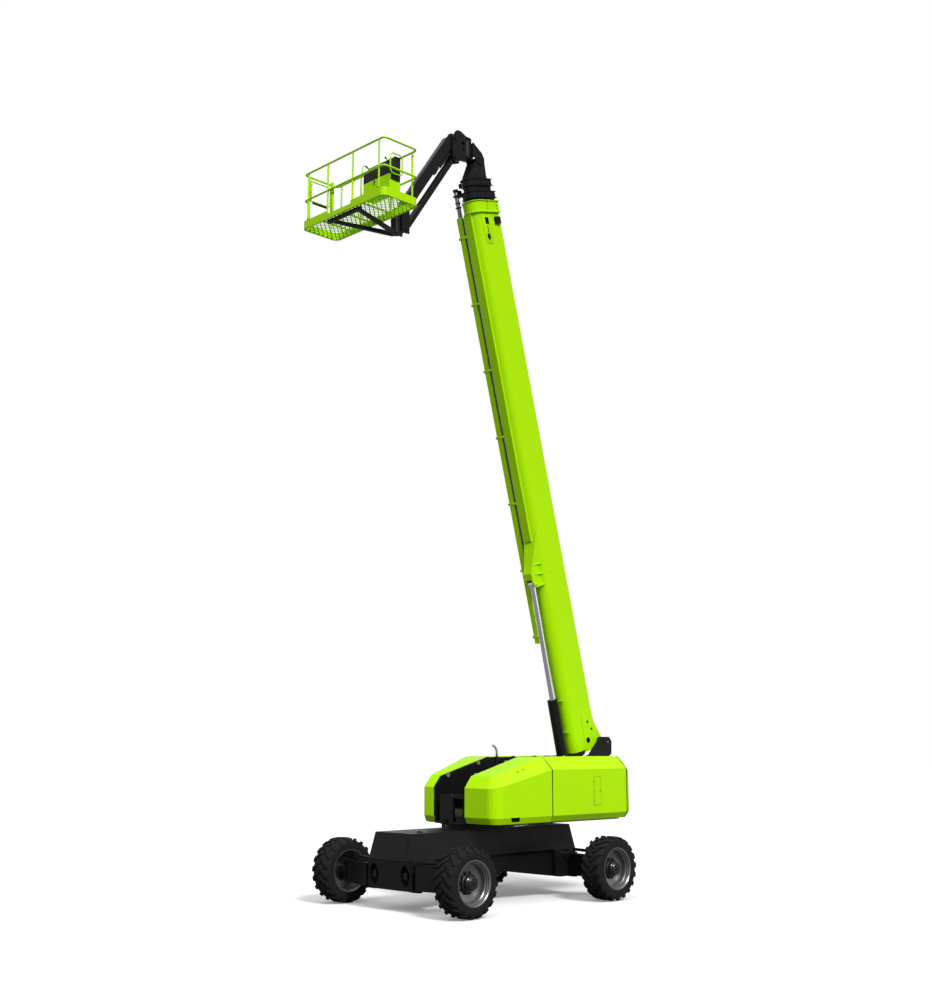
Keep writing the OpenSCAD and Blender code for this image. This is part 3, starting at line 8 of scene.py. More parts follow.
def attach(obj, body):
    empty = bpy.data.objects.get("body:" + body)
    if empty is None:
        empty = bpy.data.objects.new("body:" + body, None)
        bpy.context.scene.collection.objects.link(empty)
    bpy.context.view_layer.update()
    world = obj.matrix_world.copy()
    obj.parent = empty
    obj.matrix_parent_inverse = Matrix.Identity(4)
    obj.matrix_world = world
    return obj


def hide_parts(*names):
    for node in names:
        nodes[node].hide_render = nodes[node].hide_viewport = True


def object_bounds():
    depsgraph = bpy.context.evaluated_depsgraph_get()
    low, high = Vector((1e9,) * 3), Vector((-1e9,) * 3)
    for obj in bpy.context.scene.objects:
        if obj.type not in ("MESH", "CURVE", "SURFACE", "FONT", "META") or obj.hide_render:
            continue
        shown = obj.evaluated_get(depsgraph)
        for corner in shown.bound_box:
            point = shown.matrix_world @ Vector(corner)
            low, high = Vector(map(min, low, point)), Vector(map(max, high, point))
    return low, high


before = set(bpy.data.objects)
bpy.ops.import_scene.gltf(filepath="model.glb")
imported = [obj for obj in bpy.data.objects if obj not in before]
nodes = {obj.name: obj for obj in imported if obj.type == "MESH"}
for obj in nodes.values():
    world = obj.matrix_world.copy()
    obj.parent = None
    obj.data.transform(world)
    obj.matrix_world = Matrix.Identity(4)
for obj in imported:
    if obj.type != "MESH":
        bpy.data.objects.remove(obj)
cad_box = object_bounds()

bpy.ops.object.select_all(action="DESELECT")
scene = bpy.context.scene
scene.view_settings.view_transform = "Standard"

# ---- Camera ----
# A long lens stands 26 m off the front left corner, a little above a person's reach,
# and looks up along the raised boom.
camera_data = bpy.data.cameras.new("camera")
camera_data.sensor_width = 36.0
camera_data.lens = 47.05
camera_data.clip_end = 400.0
camera = bpy.data.objects.new("camera", camera_data)
scene.collection.objects.link(camera)
camera.location = (18.286, 18.360, 2.991)
camera.rotation_euler = (math.radians(100.49), 0.0, math.radians(-224.43))
scene.camera = camera

# ---- Floor and light ----
# A white studio floor that runs into a white backdrop, one strong lamp above the machine's left
# side, a weaker one in front and dim light from all round, so undersides stay dark. Glossy
# surfaces also see a bright band along the horizon, and the floor throws little light back up.
world = bpy.data.worlds.new("studio")
scene.world = world
world.use_nodes = True
world_nodes = world.node_tree.nodes
world_links = world.node_tree.links
backdrop = world_nodes["Background"]
backdrop.inputs["Color"].default_value = (1.0, 1.0, 1.0, 1.0)
ray = world_nodes.new("ShaderNodeLightPath")
seen = world_nodes.new("ShaderNodeMath")
seen.operation = "MAXIMUM"
world_links.new(ray.outputs["Is Camera Ray"], seen.inputs[0])
world_links.new(ray.outputs["Is Transmission Ray"], seen.inputs[1])
level = world_nodes.new("ShaderNodeMapRange")
level.inputs["To Min"].default_value = 0.11
level.inputs["To Max"].default_value = 1.0
world_links.new(seen.outputs[0], level.inputs["Value"])
aim = world_nodes.new("ShaderNodeTexCoord")
aim_parts = world_nodes.new("ShaderNodeSeparateXYZ")
horizon = world_nodes.new("ShaderNodeMapRange")
horizon.inputs["From Min"].default_value = 0.06
horizon.inputs["From Max"].default_value = 0.22
horizon.inputs["To Min"].default_value = 1.0
horizon.inputs["To Max"].default_value = 0.30
world_links.new(aim.outputs["Generated"], aim_parts.inputs[0])
world_links.new(aim_parts.outputs["Z"], horizon.inputs["Value"])
mirrored = world_nodes.new("ShaderNodeMath")
mirrored.operation = "MULTIPLY_ADD"
world_links.new(ray.outputs["Is Glossy Ray"], mirrored.inputs[0])
world_links.new(horizon.outputs["Result"], mirrored.inputs[1])
world_links.new(level.outputs["Result"], mirrored.inputs[2])
world_links.new(mirrored.outputs[0], backdrop.inputs["Strength"])

bpy.ops.mesh.primitive_plane_add(size=240.0, location=(0.0, 0.0, cad_box[0][2] - 0.002))
floor = bpy.context.object
floor.name = "floor"
floor_paint = bpy.data.materials.new("floor_white")
floor_paint.use_nodes = True
floor_nodes = floor_paint.node_tree.nodes
floor_links = floor_paint.node_tree.links
floor_nodes.clear()
floor_out = floor_nodes.new("ShaderNodeOutputMaterial")
floor_matt = floor_nodes.new("ShaderNodeBsdfDiffuse")
floor_glow = floor_nodes.new("ShaderNodeEmission")
floor_ray = floor_nodes.new("ShaderNodeLightPath")
floor_tone = floor_nodes.new("ShaderNodeMapRange")
floor_tone.inputs["To Min"].default_value = 0.20
floor_tone.inputs["To Max"].default_value = 0.72
floor_links.new(floor_ray.outputs["Is Camera Ray"], floor_tone.inputs["Value"])
floor_links.new(floor_tone.outputs["Result"], floor_matt.inputs["Color"])
floor_scale = floor_nodes.new("ShaderNodeMath")
floor_scale.operation = "MULTIPLY"
floor_scale.inputs[1].default_value = 0.22
floor_links.new(floor_ray.outputs["Is Camera Ray"], floor_scale.inputs[0])
floor_links.new(floor_scale.outputs[0], floor_glow.inputs["Strength"])
floor_sum = floor_nodes.new("ShaderNodeAddShader")
floor_links.new(floor_matt.outputs[0], floor_sum.inputs[0])
floor_links.new(floor_glow.outputs[0], floor_sum.inputs[1])
floor_links.new(floor_sum.outputs[0], floor_out.inputs["Surface"])
floor.data.materials.append(floor_paint)


def lamp(name, aim, strength, spread):
    data = bpy.data.lights.new(name, "SUN")
    data.energy = strength
    data.angle = math.radians(spread)
    source = bpy.data.objects.new(name, data)
    scene.collection.objects.link(source)
    source.rotation_euler = Vector(aim).to_track_quat("-Z", "Y").to_euler()


lamp("lamp_left", (-0.25, -0.85, -0.75), 3.1, 14.0)
lamp("lamp_front", (-0.8, -0.3, -0.9), 1.15, 40.0)
lamp("lamp_top", (0.1, -0.1, -1.0), 0.9, 60.0)


# ---- Chassis ----
# Welded box girder of steel plate in black two-pack paint, with swing-out axle arms at its
# corners. The paint is slightly orange-peeled and dulls where dust settles.
def surface(name, colour, roughness, metallic=0.0, specular=0.5):
    """A shader with its fixed values set on its own sockets."""
    material = bpy.data.materials.new(name)
    material.use_nodes = True
    shader = material.node_tree.nodes["Principled BSDF"]
    shader.inputs["Base Color"].default_value = (*colour, 1.0)
    shader.inputs["Roughness"].default_value = roughness
    shader.inputs["Metallic"].default_value = metallic
    shader.inputs["Specular IOR Level"].default_value = specular
    return material, shader


def two_tone(material, shader, colour_a, colour_b, share):
    """Runs the base colour from one shade to the other as the socket share goes from 0 to 1."""
    tree = material.node_tree
    shade = tree.nodes.new("ShaderNodeMix")
    shade.data_type = "RGBA"
    shade.inputs[6].default_value = (*colour_a, 1.0)
    shade.inputs[7].default_value = (*colour_b, 1.0)
    tree.links.new(share, shade.inputs[0])
    tree.links.new(shade.outputs[2], shader.inputs["Base Color"])


def mottle(material, shader, colour_a, colour_b, scale, rough_a, rough_b):
    """Patches of two shades and two roughnesses over the surface."""
    tree = material.node_tree
    place = tree.nodes.new("ShaderNodeTexCoord")
    noise = tree.nodes.new("ShaderNodeTexNoise")
    noise.inputs["Scale"].default_value = scale
    noise.inputs["Detail"].default_value = 6.0
    tree.links.new(place.outputs["Object"], noise.inputs["Vector"])
    two_tone(material, shader, colour_a, colour_b, noise.outputs["Fac"])
    rough = tree.nodes.new("ShaderNodeMapRange")
    rough.inputs["From Min"].default_value = 0.3
    rough.inputs["From Max"].default_value = 0.7
    rough.inputs["To Min"].default_value = rough_a
    rough.inputs["To Max"].default_value = rough_b
    tree.links.new(noise.outputs["Fac"], rough.inputs["Value"])
    tree.links.new(rough.outputs["Result"], shader.inputs["Roughness"])


def grain(material, shader, scale, depth, distance):
    """Fine bumps, such as orange peel in paint or the skin of a casting."""
    tree = material.node_tree
    place = tree.nodes.new("ShaderNodeTexCoord")
    noise = tree.nodes.new("ShaderNodeTexNoise")
    noise.inputs["Scale"].default_value = scale
    noise.inputs["Detail"].default_value = 3.0
    tree.links.new(place.outputs["Object"], noise.inputs["Vector"])
    bump = tree.nodes.new("ShaderNodeBump")
    bump.inputs["Strength"].default_value = depth
    bump.inputs["Distance"].default_value = distance
    tree.links.new(noise.outputs["Fac"], bump.inputs["Height"])
    tree.links.new(bump.outputs["Normal"], shader.inputs["Normal"])


def wear(names, material):
    """Gives solids of the frame their finish."""
    for name in names:
        node = nodes[name]
        node.data.materials.clear()
        node.data.materials.append(material)


black_paint, black_shader = surface("black_paint", (0.007, 0.007, 0.0075), 0.34, 0.0, 0.16)
mottle(black_paint, black_shader, (0.006, 0.006, 0.0065), (0.0085, 0.0085, 0.009), 2.2,
       0.28, 0.42)
grain(black_paint, black_shader, 160.0, 0.12, 0.002)
corners = ["front_left", "front_right", "rear_left", "rear_right"]
wear(["chassis", "tie_downs", "axle_arms", "swing_cylinders"], black_paint)
wear([f"knuckle_{corner}" for corner in corners], black_paint)


def pick(piece):
    """Selects one piece alone."""
    bpy.ops.object.select_all(action="DESELECT")
    piece.select_set(True)
    bpy.context.view_layer.objects.active = piece


def settle(piece):
    """Puts a piece's place, turn and scale in its mesh."""
    pick(piece)
    bpy.ops.object.transform_apply(location=True, rotation=True, scale=True)


def bake(piece, name, body, material, angle=30.0):
    """Settles a finished piece, paints it and fixes it to its body."""
    settle(piece)
    piece.name = name
    piece.data.materials.clear()
    piece.data.materials.append(material)
    bpy.ops.object.shade_smooth_by_angle(angle=math.radians(angle))
    piece.select_set(False)
    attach(piece, body)
    return piece


def apply_modifier(piece, kind, **settings):
    """Finishes a mesh with one modifier."""
    bpy.context.view_layer.objects.active = piece
    modifier = piece.modifiers.new(kind.lower(), kind)
    for key, value in settings.items():
        setattr(modifier, key, value)
    bpy.ops.object.modifier_apply(modifier=modifier.name)


def block(size, place, turn=(0.0, 0.0, 0.0), edge=0.003):
    """A flat-sided block with its edges broken."""
    bpy.ops.mesh.primitive_cube_add(size=1.0, location=place, rotation=turn)
    piece = bpy.context.object
    piece.scale = size
    bpy.ops.object.transform_apply(location=False, rotation=False, scale=True)
    apply_modifier(piece, "BEVEL", width=edge, segments=2)
    return piece


def disc(radius, depth, place, aim=(0.0, 0.0, 1.0), edge=0.003, sides=32):
    """A round bar or plate that stands along aim, with broken rims."""
    bpy.ops.mesh.primitive_cylinder_add(vertices=sides, radius=radius, depth=depth, location=place,
                                        rotation=Vector(aim).to_track_quat("Z", "Y").to_euler())
    piece = bpy.context.object
    apply_modifier(piece, "BEVEL", width=edge, segments=2, limit_method="ANGLE", angle_limit=0.9)
    return piece


def weld(pieces):
    """Joins pieces into one."""
    bpy.ops.object.select_all(action="DESELECT")
    for piece in pieces:
        piece.select_set(True)
    bpy.context.view_layer.objects.active = pieces[0]
    bpy.ops.object.join()
    return bpy.context.object


def repeat(piece, moves):
    """Sets copies of a piece by matrices and joins them, each copy with its own mesh."""
    settle(piece)
    copies = []
    for move in moves:
        copy = piece.copy()
        copy.data = piece.data.copy()
        copy.data.transform(move)
        if move.determinant() < 0.0:
            copy.data.flip_normals()
        scene.collection.objects.link(copy)
        copies.append(copy)
    bpy.data.objects.remove(piece)
    return weld(copies)


def bolts(places, aim, radius=0.012):
    """Hexagon bolts on washers, their heads standing along aim."""
    head = disc(radius, radius * 0.9, (0.0, 0.0, radius * 0.75), edge=radius * 0.12, sides=6)
    washer = disc(radius * 1.45, radius * 0.35, (0.0, 0.0, radius * 0.15), edge=radius * 0.08,
                  sides=16)
    turn = Vector(aim).to_track_quat("Z", "Y").to_matrix().to_4x4()
    return repeat(weld([head, washer]), [Matrix.Translation(place) @ turn for place in places])


# Bolts of the slanted cover plate at each end: the plate starts at its foot and leans inwards
plate_foot_x, plate_foot_z = 2.24, 0.906
plate_thickness = 0.006
lean = math.atan2(0.105, 0.466)
for name, end in (("front", 1), ("rear", -1)):
    spots = []
    for half_width, z in ((0.41, 1.03), (0.375, 1.29)):
        plate_x = plate_foot_x - (z - plate_foot_z) * math.tan(lean) + plate_thickness
        spots += [(end * plate_x, y, z + 0.002) for y in (-half_width, half_width, 0.0)]
    bake(bolts(spots, (end * math.cos(lean), 0.0, math.sin(lean)), 0.009),
         f"cover_plate_bolts_{name}", "chassis", black_paint)

# Lifting ring that lies on the deck, with its clip and its round seat
ring_x, ring_y, ring_radius = 1.727, 0.268, 0.045
bpy.ops.mesh.primitive_torus_add(major_radius=ring_radius, minor_radius=0.010,
                                 location=(ring_x, ring_y, 1.382), major_segments=32,
                                 minor_segments=10)
ring = bpy.context.object
clip = block((0.05, 0.03, 0.016), (ring_x - ring_radius, ring_y, 1.38))
seat = disc(0.07, 0.004, (ring_x, ring_y, 1.374), edge=0.001)
bake(weld([ring, clip, seat]), "deck_ring", "chassis", black_paint)


def as_mesh(curve):
    """Makes a mesh piece of a curve."""
    piece = bpy.data.objects.new("run", curve)
    scene.collection.objects.link(piece)
    pick(piece)
    bpy.ops.object.convert(target="MESH")
    return bpy.context.object


def hose(points, radius, sides=8):
    """A bent hose or pipe through the given points."""
    curve = bpy.data.curves.new("run", "CURVE")
    curve.dimensions = "3D"
    curve.bevel_depth = radius
    curve.bevel_resolution = max(1, sides // 4)
    curve.resolution_u = 6
    curve.use_fill_caps = True
    run = curve.splines.new("BEZIER")
    run.bezier_points.add(len(points) - 1)
    for bend, point in zip(run.bezier_points, points):
        bend.co = point
        bend.handle_left_type = "AUTO"
        bend.handle_right_type = "AUTO"
    return as_mesh(curve)


def corner_signs(corner):
    """Which way a corner lies: 1 towards the front or -1, and 1 towards the left or -1."""
    return (1.0 if corner.startswith("front") else -1.0, 1.0 if corner.endswith("left") else -1.0)


# Pressure hoses from the chassis over each arm to its drive motor, in a fixed block at both ends
hose_rubber, hose_shader = surface("hose_rubber", (0.010, 0.010, 0.0105), 0.62, 0.0, 0.2)
mottle(hose_rubber, hose_shader, (0.008, 0.008, 0.0085), (0.014, 0.014, 0.0145), 12.0, 0.55, 0.7)
grain(hose_rubber, hose_shader, 260.0, 0.2, 0.001)
hose_gap, hose_radius = 0.032, 0.0125
for corner in corners:
    sx, sy = corner_signs(corner)
    runs = []
    for step in (0.0, hose_gap):
        points = [(1.72 - step, 0.44, 0.86), (1.79 - step, 0.56, 0.85), (1.90, 0.70, 0.826),
                  (1.962 - step, 0.90, 0.817), (1.925 - step, 1.12, 0.817),
                  (1.905 - step, 1.27, 0.817)]
        runs.append(hose([(sx * x, sy * y, z) for x, y, z in points], hose_radius))
    bake(weld(runs), f"drive_hoses_{corner}", "chassis", hose_rubber)
    bake(block((0.10, 0.05, 0.034), (sx * 1.886, sy * 1.29, 0.820), edge=0.005),
         f"hose_block_{corner}", "chassis", black_paint)

# ---- Wheels ----
# Pressed steel rims in silver lacquer carry black planetary hubs with ten nuts each. The paint
# of the hub begins at its flange, so the two finishes part on a circle round the wheel's axis.
wheel_x, wheel_y, wheel_z = 1.93, 1.672, 0.602
hub_radius, nut_circle, plug_circle = 0.1975, 0.176, 0.070
lacquer_grey, hub_black, lacquer_metallic = (0.20, 0.203, 0.207), (0.012, 0.012, 0.013), 0.8


def circle(count, radius, first=0.0):
    """Evenly spaced places on a circle, from the first one's angle in degrees."""
    turns = [math.radians(360.0 / count * k + first) for k in range(count)]
    return [(radius * math.cos(turn), radius * math.sin(turn)) for turn in turns]


for corner in corners:
    sx, sy = corner_signs(corner)
    lacquer, lacquer_shader = surface(f"wheel_lacquer_{corner}", lacquer_grey, 0.28,
                                      lacquer_metallic, 0.5)
    grain(lacquer, lacquer_shader, 220.0, 0.08, 0.001)
    tree = lacquer.node_tree
    place = tree.nodes.new("ShaderNodeTexCoord")
    centre = tree.nodes.new("ShaderNodeMapping")
    centre.inputs["Location"].default_value = (-sx * wheel_x, 0.0, -wheel_z)
    centre.inputs["Scale"].default_value = (1.0, 0.0, 1.0)
    reach = tree.nodes.new("ShaderNodeVectorMath")
    reach.operation = "LENGTH"
    beyond = tree.nodes.new("ShaderNodeMath")
    beyond.operation = "GREATER_THAN"
    beyond.inputs[1].default_value = hub_radius
    tree.links.new(place.outputs["Object"], centre.inputs["Vector"])
    tree.links.new(centre.outputs["Vector"], reach.inputs[0])
    tree.links.new(reach.outputs["Value"], beyond.inputs[0])
    two_tone(lacquer, lacquer_shader, hub_black, lacquer_grey, beyond.outputs[0])
    metal = tree.nodes.new("ShaderNodeMath")
    metal.operation = "MULTIPLY"
    metal.inputs[1].default_value = lacquer_metallic
    tree.links.new(beyond.outputs[0], metal.inputs[0])
    tree.links.new(metal.outputs[0], lacquer_shader.inputs["Metallic"])
    wear([f"rim_{corner}"], lacquer)

    spots = [(sx * wheel_x + x, sy * (wheel_y + 0.030), wheel_z + z)
             for x, z in circle(10, nut_circle)]
    nuts = bolts(spots, (0.0, sy, 0.0), 0.020)
    spots = [(sx * wheel_x + x, sy * (wheel_y + 0.200), wheel_z + z)
             for x, z in circle(6, plug_circle, 30.0)]
    plugs = bolts(spots, (0.0, sy, 0.0), 0.008)
    cap = disc(0.034, 0.006, (sx * wheel_x, sy * (wheel_y + 0.202), wheel_z), (0.0, sy, 0.0), 0.002)
    bake(weld([nuts, plugs, cap]), f"hub_nuts_{corner}", f"wheel_{corner}", black_paint)

# ---- Tyres ----
# Rough-terrain tyres. The carcass is one section spun round the axle. Each lug runs out from a
# hooked end near the middle, slants back to the shoulder and wraps down the side wall.
rubber, rubber_shader = surface("tyre_rubber", (0.009, 0.009, 0.0095), 0.78, 0.0, 0.16)
mottle(rubber, rubber_shader, (0.007, 0.007, 0.0075), (0.012, 0.012, 0.0125), 6.0, 0.7, 0.9)
grain(rubber, rubber_shader, 90.0, 0.25, 0.003)
half_section = [(0.0, 0.5690), (0.10, 0.5675), (0.17, 0.5600), (0.198, 0.5500), (0.211, 0.5350),
                (0.2185, 0.5100), (0.2215, 0.4960), (0.2215, 0.4700), (0.2195, 0.4640),
                (0.2215, 0.4580), (0.2215, 0.4300), (0.2145, 0.4080), (0.2130, 0.3968)]
section = half_section + [(-y, r) for y, r in reversed(half_section[1:])]
bpy.ops.mesh.primitive_circle_add(vertices=len(section), radius=0.5)
carcass = bpy.context.object
for vertex, (y, r) in zip(carcass.data.vertices, section):
    vertex.co = (0.0, y, r)
bpy.ops.object.mode_set(mode="EDIT")
bpy.ops.mesh.select_all(action="SELECT")
bpy.ops.mesh.spin(steps=96, angle=2.0 * math.pi, center=(0.0, 0.0, 0.0), axis=(0.0, 1.0, 0.0))
bpy.ops.mesh.select_all(action="SELECT")
bpy.ops.mesh.remove_doubles(threshold=0.0002)
bpy.ops.mesh.normals_make_consistent(inside=False)
bpy.ops.object.mode_set(mode="OBJECT")

# One lug: its stations give the distance from the middle, the radius, the turn back in
# pitches and the half width in pitches.
lug_count = 20
pitch = 2.0 * math.pi / lug_count
stations = [(-0.014, 0.6015, -0.03, 0.13), (0.000, 0.6018, 0.00, 0.19),
            (0.028, 0.6018, 0.05, 0.20), (0.052, 0.6015, 0.15, 0.20),
            (0.085, 0.6005, 0.33, 0.20), (0.125, 0.5995, 0.52, 0.20),
            (0.165, 0.5970, 0.68, 0.21), (0.194, 0.5920, 0.79, 0.22),
            (0.212, 0.5760, 0.85, 0.22), (0.2205, 0.5500, 0.87, 0.20),
            (0.2225, 0.5180, 0.88, 0.16)]
bpy.ops.mesh.primitive_grid_add(x_subdivisions=len(stations) - 1, y_subdivisions=2, size=2.0)
lug = bpy.context.object
for vertex in lug.data.vertices:
    k = round((vertex.co.x + 1.0) / 2.0 * (len(stations) - 1))
    y, r, back, half = stations[k]
    turn = (back + vertex.co.y * half) * pitch
    vertex.co = (r * math.cos(turn), y, -r * math.sin(turn))
bpy.ops.object.mode_set(mode="EDIT")
bpy.ops.mesh.select_all(action="SELECT")
bpy.ops.mesh.normals_make_consistent(inside=False)
bpy.ops.object.mode_set(mode="OBJECT")
if sum(polygon.normal.x for polygon in lug.data.polygons) < 0.0:
    lug.data.flip_normals()
apply_modifier(lug, "SOLIDIFY", thickness=0.036, offset=-1.0)
apply_modifier(lug, "BEVEL", width=0.0035, segments=1, limit_method="ANGLE", angle_limit=0.7)
moves = []
for k in range(lug_count):
    moves.append(Matrix.Rotation(k * pitch, 4, "Y"))
    moves.append(Matrix.Rotation((k + 0.5) * pitch, 4, "Y")
                 @ Matrix.Scale(-1.0, 4, (0.0, 1.0, 0.0)))
tyre = weld([carcass, repeat(lug, moves)])
for corner in corners:
    sx, sy = corner_signs(corner)
    copy = tyre.copy()
    copy.data = tyre.data.copy()
    scene.collection.objects.link(copy)
    copy.data.transform(Matrix.Translation((sx * wheel_x, sy * wheel_y, wheel_z))
                        @ Matrix.Diagonal((sx, sy, 1.0, 1.0)))
    if sx * sy < 0.0:
        copy.data.flip_normals()
    bake(copy, f"tread_{corner}", f"wheel_{corner}", rubber, 40.0)
    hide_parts(f"tyre_{corner}")
bpy.data.objects.remove(tyre)

# ---- Turntable ----
# Welded plates in the chassis's black. The slewing bearing is held down by a ring of bolts,
# and grey nylon pads on the slot walls guide the lowered boom.
wear(["slew_ring", "turntable", "engine_block", "counterweight", "boom_pivot_pin"], black_paint)
pad_nylon, pad_shader = surface("pad_nylon", (0.16, 0.16, 0.165), 0.5, 0.0, 0.4)
mottle(pad_nylon, pad_shader, (0.13, 0.13, 0.135), (0.20, 0.20, 0.205), 9.0, 0.42, 0.6)
grain(pad_nylon, pad_shader, 200.0, 0.15, 0.001)
wear(["rest_pads"], pad_nylon)
spots = [(x, y, 1.4685) for x, y in circle(36, 0.675, 5.0)]
flange = disc(0.70, 0.020, (0.0, 0.0, 1.4585), edge=0.004, sides=72)
bake(weld([flange, bolts(spots, (0.0, 0.0, -1.0), 0.012)]), "bearing_bolts", "turntable",
     black_paint)

# Valve block with cooling ribs at the foot of the nose, in olive passivated steel
olive, olive_shader = surface("olive_plating", (0.045, 0.055, 0.004), 0.4, 0.5, 0.4)
mottle(olive, olive_shader, (0.03, 0.035, 0.004), (0.09, 0.11, 0.008), 14.0, 0.3, 0.5)
valve_y, rib_pitch = 0.250, 0.024
ribs = [block((0.012, 0.190, 0.010), (0.712, valve_y, 1.625 + rib_pitch * k), edge=0.002)
        for k in range(5)]
back = block((0.008, 0.215, 0.135), (0.708, valve_y, 1.672))
bake(weld(ribs + [back]), "valve_block", "turntable", olive)

# Pair of grey access plates that hang under the left hood
zinc_grey = (0.50, 0.51, 0.52)
zinc, zinc_shader = surface("zinc_plate", zinc_grey, 0.42, 0.6, 0.5)
mottle(zinc, zinc_shader, (0.44, 0.45, 0.46), (0.58, 0.59, 0.60), 5.0, 0.34, 0.5)
plates = [block((0.26, 0.10, 0.030), (0.00, 1.085, 1.4545)),
          block((0.10, 0.08, 0.016), (-0.20, 1.09, 1.461))]
bake(weld(plates), "access_plates", "turntable", zinc)

# ---- Hoods ----
# Moulded hoods in lime green with a glossy top coat. Thin black seals line the hatch, and the
# grab pocket has a black liner.
lime_green = (0.40, 0.77, 0.001)
lime, lime_shader = surface("lime_paint", lime_green, 0.32, 0.0, 0.12)
mottle(lime, lime_shader, (0.388, 0.755, 0.001), (0.412, 0.785, 0.001), 1.4, 0.26, 0.38)
grain(lime, lime_shader, 140.0, 0.08, 0.0015)
wear(["front_cover_left", "front_cover_right", "rear_cover_left", "rear_cover_right"], lime)
wear(["tail_cover"], lime)
hatch_front, hatch_rear, hatch_middle = -2.036, -2.254, -2.145
hatch_low, hatch_high, hatch_mid_z = 1.766, 2.314, 2.040
hatch_face, hatch_height, hatch_width = 1.2455, 0.552, 0.218
hood_section = [(1.165, 1.492), (1.245, 1.606), (1.245, 2.468), (0.995, 2.704), (0.470, 2.704)]
seam_strip_thickness, seams = 0.0024, (-0.810, -3.062)
for side, sy in (("left", 1.0), ("right", -1.0)):
    face = sy * hatch_face
    strips = [block((0.006, 0.004, hatch_height), (hatch_front, face, hatch_mid_z), edge=0.001),
              block((hatch_width, 0.004, 0.006), (hatch_middle, face, hatch_low), edge=0.001),
              block((0.004, 0.004, hatch_height), (hatch_rear, face, hatch_mid_z), edge=0.001),
              block((hatch_width, 0.004, 0.004), (hatch_middle, face, hatch_high), edge=0.001)]
    for z in (1.86, 2.04, 2.22):
        strips.append(block((0.016, 0.010, 0.034), (hatch_front, face, z), edge=0.003))
    strips.append(block((0.034, 0.012, 0.016), (-2.215, sy * 1.258, 2.045), edge=0.004))
    bake(weld(strips), f"hatch_seal_{side}", f"rear_cover_{side}", hose_rubber)
    # Black strips over the two seams of each hood, wider than the gaps: painted shade of the seam
    # gaps, drawn as thin rubber lips
    seam_strips = []
    for seam in seams:
        for (y0, z0), (y1, z1) in zip(hood_section, hood_section[1:]):
            run = math.hypot(y1 - y0, z1 - z0)
            out = Vector(((z1 - z0) / run, (y0 - y1) / run)) * (seam_strip_thickness / 2.0)
            middle = (seam, sy * ((y0 + y1) / 2.0 + out.x), (z0 + z1) / 2.0 + out.y)
            seam_strips.append(block((0.024, run, seam_strip_thickness), middle,
                              (sy * math.atan2(z1 - z0, y1 - y0), 0.0, 0.0), edge=0.001))
    bake(weld(seam_strips), f"seam_shade_lips_{side}", f"rear_cover_{side}", hose_rubber)

# Two studs on the left hood's bevel, and the liner of the grab pocket
bake(bolts([(0.055, 1.139, 2.4335), (-0.100, 1.139, 2.4725)], (0.12, 0.60, 0.79), 0.011),
     "bevel_studs", "turntable", black_paint)
liner = [block((0.150, 0.004, 0.020), (0.215, 1.160, 1.545), (0.45, 0.0, 0.0), edge=0.003),
         block((0.235, 0.010, 0.100), (0.205, 1.152, 1.568), (-0.45, 0.0, 0.0), edge=0.003)]
bake(weld(liner), "pocket_liner", "turntable", hose_rubber)

# Exhaust: zinc-coated where it stands above the hoods, black below as painted shade of the slot it
# stands in
exhaust, exhaust_shader = surface("exhaust_zinc", zinc_grey, 0.45, 0.5, 0.4)
grain(exhaust, exhaust_shader, 120.0, 0.15, 0.001)
tree = exhaust.node_tree
place = tree.nodes.new("ShaderNodeTexCoord")
parts = tree.nodes.new("ShaderNodeSeparateXYZ")
exhaust_shade_ramp = tree.nodes.new("ShaderNodeMapRange")
exhaust_shade_ramp.inputs["From Min"].default_value = 2.70
exhaust_shade_ramp.inputs["From Max"].default_value = 2.86
tree.links.new(place.outputs["Object"], parts.inputs[0])
tree.links.new(parts.outputs["Z"], exhaust_shade_ramp.inputs["Value"])
# Painted shade: black low on the pipe, running to zinc grey above the hood top
two_tone(exhaust, exhaust_shader, (0.010, 0.010, 0.010), zinc_grey, exhaust_shade_ramp.outputs["Result"])
wear(["exhaust"], exhaust)

# ---- Boom ----
# Four telescopic sections of bent plate: the base in lime, the inner ones in satin black. What
# is fixed to a section is laid out in the boom's own frame, along it and across it.
boom_foot, boom_rise = (-3.44, 0.0, 3.02), 75.2
boom_frame = (Matrix.Translation(boom_foot)
              @ Matrix.Rotation(math.radians(-boom_rise), 4, "Y"))


def on_boom(piece, frame_matrix=boom_frame):
    """Takes a piece from the boom's or the jib's own frame to the machine's."""
    settle(piece)
    piece.data.transform(frame_matrix)
    return piece


def both_faces(places, radius):
    """The same bolts on the left face of a piece and on its right one."""
    left = bolts(places, (0.0, 1.0, 0.0), radius)
    right = bolts([(x, -y, z) for x, y, z in places], (0.0, -1.0, 0.0), radius)
    return weld([left, right])


wear(["boom_base", "hose_tray"], lime)
wear(["boom_second", "boom_third", "boom_fly", "lift_barrel"], black_paint)
chrome, chrome_shader = surface("chromed_rod", (0.86, 0.86, 0.88), 0.12, 1.0, 0.5)
mottle(chrome, chrome_shader, (0.84, 0.84, 0.86), (0.88, 0.88, 0.90), 3.0, 0.10, 0.16)
wear(["lift_rod", "jib_rod"], chrome)

# Mouth of each section: bolts of the wear pads on both sides
spots = [(s, 0.2215, n) for s in (11.465, 11.53, 11.595) for n in (-0.395, -0.10)]
bake(on_boom(both_faces(spots, 0.009)), "base_pad_bolts", "boom_base", black_paint)
for name, body, s, y, n in (("second_pad_bolts", "boom_second", 11.76, 0.1965, -0.12),
                            ("third_pad_bolts", "boom_third", 12.03, 0.1715, -0.14)):
    spots = [(s, y, n), (s, y, n - 0.12), (s, y, n - 0.24)]
    bake(on_boom(both_faces(spots, 0.010)), name, body, black_paint)

